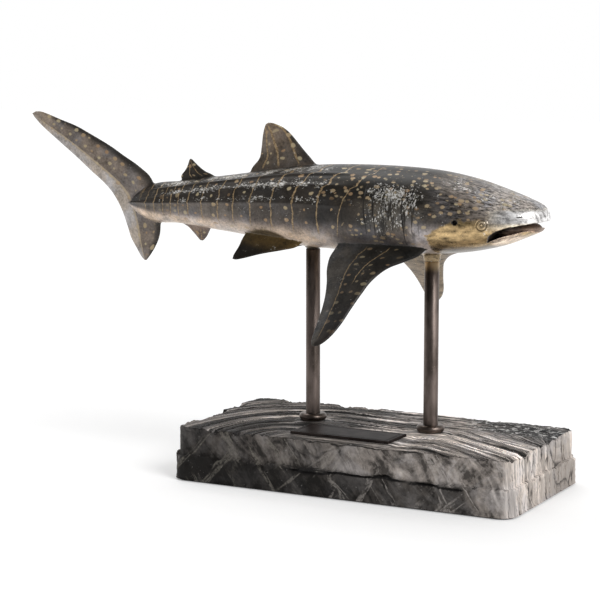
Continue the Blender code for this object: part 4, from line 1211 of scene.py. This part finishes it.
# %% Dabs on the head
DAB_SCALE = 170.0
longer = flow("Mapping", 0, {"Vector": place, "Scale": (0.68, 1.0, 1.0)})
dabs = add("TexVoronoi", {"Vector": longer, "Scale": DAB_SCALE, "Randomness": 0.95}).outputs
dab_mm = (fine - 0.5) * 2.6 + Flow(dabs["Distance"]) * (1000.0 / DAB_SCALE)
red, green, blue = split_up(Flow(dabs["Color"]), "Color")
dab = dabbed(red * 1.1 + 1.15, dab_mm, (green, 0.06), read("head_spots"))
head_gilt = mixed(blue, (0.36, 0.225, 0.12, 1), (0.50, 0.42, 0.27, 1))
line_gold = mixed(steps(fine, 0.35, 0.65), (0.20, 0.135, 0.07, 1), (0.42, 0.30, 0.165, 1))
tail_crease = steps(abs(read("crease") - 0.66), 0.038, 0.014)
for share, gold in (
    (line * 0.88, line_gold), (spot * 0.80, gilt), (dab * 0.78, head_gilt),
    (tail_crease * 0.62, (0.50, 0.40, 0.27, 1)),
):
    colour = mixed(share, colour, gold)

# %% Worn marks and painted glints
gill_zone = read("gills")
wear_glint_zone = read("worn")
along = fractal(place, 1.0, 2.0, 0.6, (330.0, 760.0, 760.0))
down = fractal(place, 1.0, 2.0, 0.6, (620.0, 520.0, 330.0))
scratch = between(gill_zone, along, down)
patchy = (fractal(place, 75.0, 2.0) - 0.5) * 0.75 + scratch
needed = wear_glint_zone * -0.29 + 0.78
bare_mark_and_glint = steps(patchy - needed, 0.01, 0.07) * steps(wear_glint_zone, 0.05, 0.30)
# The near-white marks are worn bare metal and partly painted glints
wear_glint_tone = mixed(steps(fine, 0.42, 0.58), (0.17, 0.155, 0.12, 1), (0.80, 0.78, 0.75, 1))
colour = mixed(bare_mark_and_glint * 0.80, colour, wear_glint_tone)

folds = fractal(place, 1.0, 3.0, 0.55, (210.0, 60.0, 38.0), 0.3)
fold = steps(folds, 0.46, 0.36) * gill_zone
colour = mixed(fold * 0.88, colour, (0.014, 0.012, 0.010, 1))

# %% [markdown]
# The eye is a small coil pressed into the polished face. It is drawn as rings round one point on each
# side: folding the Y coordinate over makes a single point serve both eyes.

# %% Eye rings and surface relief
EYE_X = 0.145
EYE_LEVEL = -0.002
eye_here = skin(EYE_X, angle_at(EYE_X, EYE_LEVEL))
place_x, place_y, place_z = split_up(place)
folded_over = flow("CombineXYZ", 0, {0: place_x, 1: abs(place_y), 2: place_z})
eye_at = (eye_here[0], abs(eye_here[1]), eye_here[2])
eye_mm = vector_sums("DISTANCE", folded_over, eye_at, output="Value") * 1000.0
height_in_eye = (place_z - float(eye_here[2])) * 330.0
rings = sums("COSINE", eye_mm * 1.85 + height_in_eye) * steps(eye_mm, 8.0, 6.8)
ring_groove = steps(rings, -0.25, -0.75)
colour = mixed(ring_groove * 0.72, colour, (0.11, 0.075, 0.035, 1))

relief = scratch * (wear_glint_zone * 0.11 + 0.015)
for share, height in (
    (folds * gill_zone, 0.55), (streaks * read("snout"), 0.14), (line, -0.05), (spot, -0.06), (dab, -0.06),
    (rings, 0.22), (rubbed * bright, 0.10),
):
    relief = share * height + relief
fill(shader, {
    "Base Color": colour,
    "Specular IOR Level": 0.28,
    "Metallic": bright * 0.50 + 0.20 + bare_mark_and_glint * 0.15,
    "Roughness": grain * 0.20 + 0.26 + bright * -0.10,
    "Normal": bumpy(relief),
})
shell.materials.append(bronze)
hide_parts("shark_casting")
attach(casting, "root")
print("bronze nodes:", len(tree.nodes))

# %% [markdown]
# ## Posts and collars
# The posts are drawn bar with a dark brown patina and the collars are turned beads that hide the holes in
# the stone. Both are solids of revolution, so a profile is spun round each post's centre line.

# %% Posts
def turned(name, node_name, profile, x):
    """Turned piece that stands in for a CAD piece."""
    piece = piece_from(spun(profile, x, 96), name)
    piece.data.set_sharp_from_angle(angle=math.radians(50))
    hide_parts(node_name)
    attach(piece, "root")
    return piece


COLLAR_BORE = 0.0083
BEAD_STEPS = 24
bars = []
for label, x in (("front", FRONT_POST_X), ("rear", REAR_POST_X)):
    low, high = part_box(f"{label}_post")
    seat = high.z - 0.012
    foot = STONE_TOP + GAP
    profile = [
        (0.0, high.z), (0.0044, high.z), (0.0050, high.z - 0.0006), (0.0050, seat),
        (0.0074, seat), (0.0080, seat - 0.0006), (0.0080, foot), (0.0050, foot),
        (0.0050, low.z + 0.0006), (0.0044, low.z), (0.0, low.z),
    ]
    bars.append(turned(f"{label}_bar", f"{label}_post", profile, x))
    low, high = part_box(f"{label}_collar")
    middle, half = (low.z + high.z) / 2, (high.z - low.z) / 2
    bulge = min(half, 0.0054)
    inner = (high.x - low.x) / 2 - bulge
    profile = [(COLLAR_BORE, high.z), (inner, high.z)]
    for k in range(1, BEAD_STEPS):
        turn = math.radians(90 - 180 * k / BEAD_STEPS)
        profile.append((inner + bulge * math.cos(turn), middle + half * math.sin(turn)))
    profile += [(inner, low.z), (COLLAR_BORE, low.z), (COLLAR_BORE, high.z)]
    bars.append(turned(f"{label}_bead", f"{label}_collar", profile, x))
print("turned pieces:", [bar.name for bar in bars])

# %% Dark bar
bar_metal, tree, shader, place = finish("dark bronze bar", metallic=1.0)
cloud = fractal(place, 60.0, 4.0, 0.6, (1.0, 1.0, 0.35))
bar_tone = mixed(steps(cloud, 0.35, 0.65), (0.085, 0.068, 0.058, 1), (0.19, 0.152, 0.135, 1))
freckle = steps(fractal(place, 500.0, 2.0), 0.66, 0.72)
place_x, place_y, place_z = split_up(place)
front_belly = belly_at(FRONT_POST_X)
# Bright bronze at the top of the front bar under the boss: the boss's bronze, partly painted highlight
under_boss = steps(place_z, front_belly - 0.022, front_belly - 0.010) * steps(place_x, 0.0, 0.01)
bar_tone = mixed(under_boss * 0.85, bar_tone, (0.62, 0.47, 0.29, 1))
bar_tone = mixed(freckle * 0.5, bar_tone, (0.30, 0.24, 0.20, 1))
drawn = fractal(place, 1.0, 2.0, 0.5, (900.0, 900.0, 40.0))
fill(shader, {"Base Color": bar_tone, "Roughness": cloud * 0.22 + 0.26, "Normal": bumpy(drawn * 0.02)})
for bar in bars:
    bar.data.materials.append(bar_metal)

# %% [markdown]
# ## Carved stone
# The base is one block with a ledge half way up, and its top and sides are carved along the layers of the
# stone. A grid makes the top. Its edge is extruded down the walls in many small steps, and then every point
# is pressed inwards by a depth that depends on the layer it lies in. The layers run lengthwise and bend to
# the front at both ends, as bands of marble do. Spots for the collars and the plate stay flat.

# %% Layers
STONE_LOW, STONE_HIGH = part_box("stone_base")
STONE_BOTTOM = STONE_LOW.z
LEDGE = STONE_BOTTOM + 0.0295
HALF_X = 0.409 / 2 - 0.0045
HALF_Y = 0.205 / 2 - 0.0045
CORNER = 0.014
STEP = 0.0045
PLATE_LOW, PLATE_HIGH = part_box("plaque")
RELIEF_DEPTH = 0.0040
SIDE_RELIEF_DEPTH = 0.0018

# Place across the layers, half width and depth share of each groove
GROOVES = (
    (0.0890, 0.0045, 0.70), (0.0710, 0.0040, 0.60), (0.0540, 0.0055, 0.95), (0.0370, 0.0050, 0.85),
    (0.0240, 0.0040, 0.50), (0.0095, 0.0055, 1.00), (-0.0060, 0.0040, 0.55), (-0.0240, 0.0060, 1.00),
    (-0.0400, 0.0040, 0.55), (-0.0530, 0.0050, 0.85), (-0.0670, 0.0040, 0.50), (-0.0800, 0.0050, 0.75),
    (-0.0940, 0.0045, 0.60),
)


def layer_at(x, y, z):
    """Place across the layers, which turn round at the left end and slant at the right end."""
    left = np.maximum(0.0, -0.060 - x)
    around = 1.25 * np.hypot(left, (y + 0.100) / 1.25) - 0.100
    slant = 0.62 * np.maximum(0.0, x - 0.095) * (1 - ease(0.0, 0.095, y))
    wave = 0.0035 * np.sin(21.0 * x + 1.0) + 0.0020 * np.sin(53.0 * x + 25.0 * y)
    return around + slant + wave + 0.12 * (z - STONE_TOP)


def carved(x, layer):
    """Carved depth from 0 to 1: soft swells with narrow grooves between them."""
    depth = 0.18 + 0.12 * np.sin(math.tau * layer / 0.033 + 2.0 * np.sin(11.0 * x))
    for place, half_width, share in GROOVES:
        strength = share * (0.68 + 0.32 * np.sin(17.0 * x + 400.0 * place))
        depth = np.maximum(depth, strength * (1 - np.abs(layer - place) / half_width))
    return depth


def clear_of_pads(x, y):
    """0 on the flat places of the collars and the plate, and 1 away from them."""
    clear = np.ones_like(x)
    for post_x in (FRONT_POST_X, REAR_POST_X):
        away = np.hypot(x - post_x, y) - 0.0155 - 0.002
        clear = np.minimum(clear, ease(0.0, 0.009, away))
    away_x = np.abs(x - (PLATE_LOW.x + PLATE_HIGH.x) / 2) - (PLATE_HIGH.x - PLATE_LOW.x) / 2
    away_y = np.abs(y - (PLATE_LOW.y + PLATE_HIGH.y) / 2) - (PLATE_HIGH.y - PLATE_LOW.y) / 2
    return np.minimum(clear, ease(0.0, 0.009, np.maximum(away_x, away_y) - 0.002))


def noise_at(points, octaves=4):
    """Fractal noise of many points."""
    return np.array([noise.fractal(Vector(point), 0.9, 2.1, octaves) for point in points])


# %% Block
bm = bmesh.new()
bmesh.ops.create_grid(bm, x_segments=340, y_segments=170, size=1.0)


def rounded_top(places):
    """Bends a square grid into the top of the block, with rounded corners."""
    x = places[:, 0] * HALF_X
    y = places[:, 1] * HALF_Y
    over_x = np.abs(x) - (HALF_X - CORNER)
    over_y = np.abs(y) - (HALF_Y - CORNER)
    both = (over_x > 0) & (over_y > 0)
    pull = np.where(both, np.maximum(over_x, over_y) / np.maximum(np.hypot(over_x, over_y), 1e-9), 1.0)
    x = np.where(both, np.copysign(HALF_X - CORNER + over_x * pull, x), x)
    y = np.where(both, np.copysign(HALF_Y - CORNER + over_y * pull, y), y)
    return beside(x, y, np.full(len(x), STONE_TOP))


reshaped(bm, rounded_top)

# How far out and how high each ring of the wall lies
wall = [(-0.0009, STONE_TOP - 0.0007), (0.0, STONE_TOP - 0.0022)]
wall += [(0.0, z) for z in np.linspace(STONE_TOP - 0.0042, LEDGE + 0.0006, 12)]
wall += [(0.0008, LEDGE), (STEP - 0.0010, LEDGE), (STEP, LEDGE - 0.0008)]
wall += [(STEP, z) for z in np.linspace(LEDGE - 0.0026, STONE_BOTTOM + 0.0008, 12)] + [(STEP, STONE_BOTTOM)]
rim = [edge for edge in bm.edges if edge.is_boundary]


def moved_out(vertex, distance):
    """Moves a vertex of the rim outwards, square to the rim."""
    core = Vector((
        min(max(vertex.co.x, CORNER - HALF_X), HALF_X - CORNER),
        min(max(vertex.co.y, CORNER - HALF_Y), HALF_Y - CORNER),
        0.0,
    ))
    outward = Vector((vertex.co.x, vertex.co.y, 0.0)) - core
    vertex.co += outward.normalized() * distance


TOP_EDGE = -0.0026
for vertex in {vertex for edge in rim for vertex in edge.verts}:
    moved_out(vertex, TOP_EDGE)
at = TOP_EDGE
for out, z in wall:
    made = bmesh.ops.extrude_edge_only(bm, edges=rim)["geom"]
    rim = [item for item in made if isinstance(item, bmesh.types.BMEdge)]
    for vertex in {vertex for edge in rim for vertex in edge.verts}:
        moved_out(vertex, out - at)
        vertex.co.z = z
    at = out
bmesh.ops.contextual_create(bm, geom=rim)
bmesh.ops.recalc_face_normals(bm, faces=bm.faces)
before = np.array([vertex.co[:] for vertex in bm.verts])
x, y, z = before.T
layer = layer_at(x, y, z)
depth = carved(x, layer)
on_top = z > STONE_TOP - 0.0003
print("stone points:", len(bm.verts), "mean carved depth:", round(float(depth.mean()), 3))

# %% [markdown]
# The main grooves are the CAD model's. Chisel work and breakage add finer marks: hairline splits between
# the big grooves, a pitted skin, chipped edges, and on the front a broken ledge that hangs over in places.

# %% Carve
CHIP_DEPTH = 0.0022
OVERHANG_DEPTH = 0.0032
pitted = noise_at(before * 170.0, 4)
chips = noise_at(before * (38.0, 60.0, 60.0) + 7.0, 4)
splits = noise_at(beside(x * 17.0, layer * 330.0, z * 25.0), 3)
split_depth = np.clip(1 - np.abs(splits + 0.05) * 6.0, 0, 1)
near_face = ease(-HALF_Y + 0.006, -HALF_Y + 0.001, y)
far_face = ease(HALF_Y - 0.006, HALF_Y - 0.001, y)
end_face = np.maximum(ease(HALF_X - 0.006, HALF_X - 0.001, x), ease(-HALF_X + 0.006, -HALF_X + 0.001, x))
flat = clear_of_pads(x, y)
pecks = np.clip(pitted + 0.4, 0, 1.2)
fine_marks = 0.00075 * split_depth + 0.00045 * pecks
press_down = (RELIEF_DEPTH * depth + fine_marks) * flat
down_wall = np.where(on_top, 0.0, ease(STONE_BOTTOM, STONE_BOTTOM + 0.001, z))
near_top = ease(STONE_TOP - 0.0035, STONE_TOP - 0.0015, z)
after = before.copy()
after[:, 2] -= np.where(on_top, press_down, press_down * near_top)
broken = np.clip(chips * 2.0 - 0.05, 0, 1) * (1 + 0.8 * ease(-0.02, -0.12, x))
rim_in = np.maximum(np.abs(x) - HALF_X, np.abs(y) - HALF_Y)
at_rim = ease(-0.011, -0.002, rim_in) * ease(STONE_TOP - 0.006, STONE_TOP - 0.001, z)
after[:, 2] -= CHIP_DEPTH * broken * at_rim
face_depth = 0.6 * SIDE_RELIEF_DEPTH * depth + 0.0004 * pecks + 0.0012 * broken
ribs = noise_at(beside(y * 115.0, z * 9.0, 0 * x + 5.0), 3)
rib_gap = np.clip(1 - np.abs(ribs) * 5.5, 0, 1)
end_depth = SIDE_RELIEF_DEPTH * depth + 0.0010 * split_depth + 0.0006 * pecks + 0.0016 * rib_gap
after[:, 0] -= np.sign(x) * end_face * end_depth * down_wall
after[:, 1] -= np.sign(y) * np.maximum(near_face, far_face) * face_depth * down_wall
overhang = np.clip(noise_at(beside(x * 20.0, 0 * x, 0 * x + 3.0), 2) * 0.9 + 0.80, 0, 1)
overhang *= near_face * (0.25 * ease(-0.150, -0.090, x) + 0.75 * ease(-0.075, -0.030, x))
overhang *= ease(0.158, 0.138, x)
crack_level = LEDGE + 0.0014 * np.sin(34.0 * x) + 0.0011 * np.sin(117.0 * x + 1.0) - 0.0016
hang = ease(crack_level + 0.011, crack_level + 0.002, z) * ease(crack_level - 0.0012, crack_level + 0.0008, z)
after[:, 1] -= overhang * hang * OVERHANG_DEPTH
under = ease(crack_level + 0.0006, crack_level - 0.0008, z)
under *= ease(crack_level - 0.0042, crack_level - 0.0014, z)
after[:, 1] += overhang * under * OVERHANG_DEPTH
at_ledge = ease(LEDGE - 0.006, LEDGE, z) * ease(LEDGE + 0.003, LEDGE, z)
after[:, 2] -= np.where(on_top, 0.0, CHIP_DEPTH * broken * at_ledge)
after[:, 0] = np.clip(after[:, 0], STONE_LOW.x, STONE_HIGH.x)
after[:, 1] = np.clip(after[:, 1], STONE_LOW.y, STONE_HIGH.y)
after[:, 2] = np.maximum(after[:, 2], STONE_BOTTOM)
for vertex, carved_place in zip(bm.verts, after):
    vertex.co = carved_place
block = piece_from(bm, "carved_base")
block.data.set_sharp_from_angle(angle=math.radians(50))

# %% Stone tones
top = on_top.astype(float)
deep = np.clip(depth - 0.30, 0, 1) / 0.45
# Deep grooves and the crack under the overhanging ledge are darkened: painted shade
cavity = deep * np.where(on_top, flat, 0.22 * end_face)
crack_shade = np.clip(overhang * 0.75, 0, 1) * under
under_ledge = near_face * ease(LEDGE + 0.0012, LEDGE, z) * ease(LEDGE - 0.0022, LEDGE - 0.0008, z)
crack_shade = np.maximum(crack_shade, 0.16 * under_ledge)
front = near_face * (1 - top)
shade = 0.130 + 0.16 * ease(-0.060, 0.120, x)
shade = shade - 0.055 * ease(-0.020, -0.120, x) * ease(0.020, -0.080, y)
front_shade = 0.032 + 0.050 * ease(-0.175, -0.080, x) + 0.125 * ease(-0.030, 0.110, x)
front_shade = front_shade * (1 - 0.76 * ease(LEDGE + 0.002, LEDGE - 0.002, z) * ease(0.185, 0.140, x))
shade = shade + (front_shade - shade) * front
right_end = ease(HALF_X - 0.010, HALF_X - 0.002, x) * (1 - top)
# The right end is lifted to a pale, even tone: partly the stone's pale end, partly painted light
shade = shade + (0.50 - 0.20 * ease(LEDGE + 0.001, LEDGE - 0.003, z) - shade) * right_end
ledge_rim = right_end * ease(LEDGE - 0.0035, LEDGE - 0.0010, z) * ease(LEDGE + 0.0040, LEDGE + 0.0015, z)
shade = shade + 0.25 * ledge_rim
left_end = ease(-HALF_X + 0.010, -HALF_X + 0.002, x) * (1 - top)
shade = shade + (0.060 - shade) * left_end
far_corner = top * ease(0.075, 0.120, x + 0.5 * (y - 0.05)) * ease(0.018, 0.042, y)
store(
    block.data, layer=layer, cavity=np.clip(np.maximum(cavity, crack_shade), 0, 1),
    topside=np.maximum(top, 0.7 * right_end), shade=shade, front=front * (1 - right_end),
    far_corner=far_corner, pale_end=right_end, rib_gap=rib_gap * end_face * (1 - top),
)
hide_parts("stone_base")
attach(block, "root")

# %% [markdown]
# ## Veined marble
# The stone is grey with black and pale bands. The bands follow the carved layers, so the colour reads the
# layer number that the carving stored. The general tone runs from near black at the left end to pale at
# the right end, and the right end face is lifted to an even pale tone, partly painted light. Thin pale veins
# cross the smoother front face at a slant, the grooves and the crack under the ledge are darkened with
# painted shade, and the rear corner at the right is black with white flecks.

# %% Marble
marble, tree, shader, place = finish("veined marble")
layer_in = read("layer")
topside = read("topside")
on_front = read("front")
place_x, place_y, place_z = split_up(place)


def banded(along_scale, across_scale, detail, rough_share):
    """Noise stretched along the layers."""
    stretched = {0: place_x * along_scale, 1: layer_in * across_scale, 2: place_z * along_scale}
    return fractal(flow("CombineXYZ", 0, stretched), 1.0, detail, rough_share, None, 0.3)


bands = banded(8.0, 105.0, 5.0, 0.62)
hairs = banded(16.0, 520.0, 3.0, 0.6)
ramp = add("ValToRGB", {"Fac": bands})
stops = ramp.color_ramp.elements
for stop, position, level in ((stops[0], 0.36, 0.06), (stops[1], 0.68, 3.6)):
    stop.position = position
    stop.color = grey(level)
for position, level in ((0.45, 0.55), (0.53, 1.25), (0.60, 2.3)):
    stops.new(position).color = grey(level)
strength = split_up(Flow(ramp.outputs["Color"]), "Color")[0]

cloudy = fractal(place, 26.0, 5.0, 0.62, None, 0.9)
tilted = flow("Mapping", 0, {"Vector": place, "Rotation": (0.0, 0.62, 0.0)})
soft = (fractal(tilted, 1.0, 5.0, 0.62, (52.0, 14.0, 19.0), 1.2) - 0.5) * 5.6 + 1.1
soft = soft + (fractal(place, 150.0, 4.0, 0.65) - 0.5) * 2.6 + (cloudy - 0.5) * 3.4
strength = between(on_front, strength, highest(soft, 0.30))

hair = steps(hairs, 0.485, 0.415) * (1.0 - on_front)
ridges = (banded(11.0, 250.0, 4.0, 0.65) - 0.5) * topside * 8.0
strength = strength * (hair * -0.85 + 1.0) * highest(ridges + 1.12, 0.08)
strength = highest(strength * read("shade"), 0.012)
# Even pale tone on the right end face: partly the stone's colour, partly painted light that fills its shade
even = lowest(strength * 0.55 + 0.36, 0.80) * (steps(read("rib_gap"), 0.25, 0.85) * -0.80 + 1.0)
strength = between(read("pale_end"), strength, even)
warm = mixed(steps(cloudy, 0.42, 0.62), (1.05, 0.93, 0.84, 1), (1.02, 0.94, 0.90, 1))
stone_colour = scaled(warm, strength)

# %% Veins and grooves
grit = fractal(place, 380.0, 3.0, 0.6)
patches = fractal(place, 15.0, 3.0, 0.5)
sets = []
for lean_angle, size_of, share, least, most in (
    (0.62, 30.0, 0.9, 0.40, 0.54), (-0.75, 22.0, 0.7, 0.58, 0.46),
):
    leaning = flow("Mapping", 0, {"Vector": place, "Rotation": (0.0, lean_angle, 0.2)})
    ribbon = fractal(leaning, 1.0, 4.0, 0.55, (size_of, 2.0, size_of * 0.16), 0.5)
    sets.append(steps(abs(ribbon - 0.5), 0.021, 0.005) * share * steps(patches, least, most))
vein = highest(*sets) * steps(grit, 0.30, 0.58) * on_front
vein_tone = mixed(steps(place_x, -0.10, 0.10), (0.19, 0.175, 0.15, 1), (0.48, 0.44, 0.41, 1))
stone_colour = mixed(vein * 0.68, stone_colour, vein_tone)

flecks = fractal(place, 120.0, 4.0, 0.7, (0.8, 1.5, 1.5))
black_white = mixed(steps(flecks, 0.53, 0.60), (0.010, 0.010, 0.011, 1), (0.62, 0.61, 0.59, 1))
stone_colour = mixed(read("far_corner") * 0.85, stone_colour, black_white)
# Black in the grooves and the crack is painted shade; the hairline splits are dark marks of the stone
splits_and_groove_shade = steps((hairs - 0.5) * 1.1 + read("cavity"), 0.14, 0.32)
stone_colour = mixed(splits_and_groove_shade * 0.92, stone_colour, (0.012, 0.011, 0.011, 1))
speckle = steps(grit, 0.66, 0.72) * (topside * 0.4 + 0.2)
stone_colour = mixed(speckle, stone_colour, (0.60, 0.58, 0.55, 1))
fill(shader, {
    "Base Color": stone_colour,
    "Specular IOR Level": 0.10,
    "Roughness": grit * 0.30 + 0.36,
    "Normal": bumpy(hairs * topside * 1.3 + bands * 0.35 + grit * 0.45),
})
block.data.materials.append(marble)
print("stone triangles:", sum(len(p.vertices) - 2 for p in block.data.polygons))

# %% [markdown]
# ## Plate, felt and fastenings
# The CAD shapes of these pieces are right as they are, so they only get a finish: a dark brushed plate, a
# black felt with short fibres, and zinc-plated steel for the nuts and washers in the pockets.

# %% Small finishes
plate, tree, shader, place = finish("dark plate", metallic=0.1)
brushed = fractal(place, 1.0, 3.0, 0.6, (45.0, 900.0, 900.0))
cloud = steps(fractal(place, 70.0, 3.0), 0.3, 0.7)
fill(shader, {
    "Base Color": mixed(cloud, (0.016, 0.012, 0.011, 1), (0.034, 0.027, 0.025, 1)),
    "Specular IOR Level": 0.02,
    "Roughness": brushed * 0.25 + 0.28,
    "Normal": bumpy(brushed * 0.03),
})

felt, tree, shader, place = finish("black felt", roughness=0.95)
fibres = fractal(place, 1500.0, 3.0, 0.7)
fill(shader, {
    "Base Color": mixed(fibres, (0.010, 0.010, 0.011, 1), (0.040, 0.040, 0.042, 1)),
    "Sheen Weight": 0.4,
    "Sheen Roughness": 0.5,
    "Normal": bumpy(fibres * 0.15),
})

zinc, tree, shader, place = finish("zinc plating", metallic=1.0)
spangle = fractal(place, 300.0, 2.0)
fill(shader, {
    "Base Color": mixed(spangle, (0.48, 0.49, 0.50, 1), (0.68, 0.69, 0.70, 1)),
    "Roughness": spangle * 0.2 + 0.25,
})

for node_name, one in (
    ("plaque", plate), ("felt_pad", felt), ("front_washer", zinc), ("rear_washer", zinc),
    ("front_nut", zinc), ("rear_nut", zinc),
):
    part = nodes[node_name]
    for slot in part.material_slots:
        slot.material = one
    if not part.material_slots:
        part.data.materials.append(one)
print("finished:", len(bpy.data.materials), "materials")
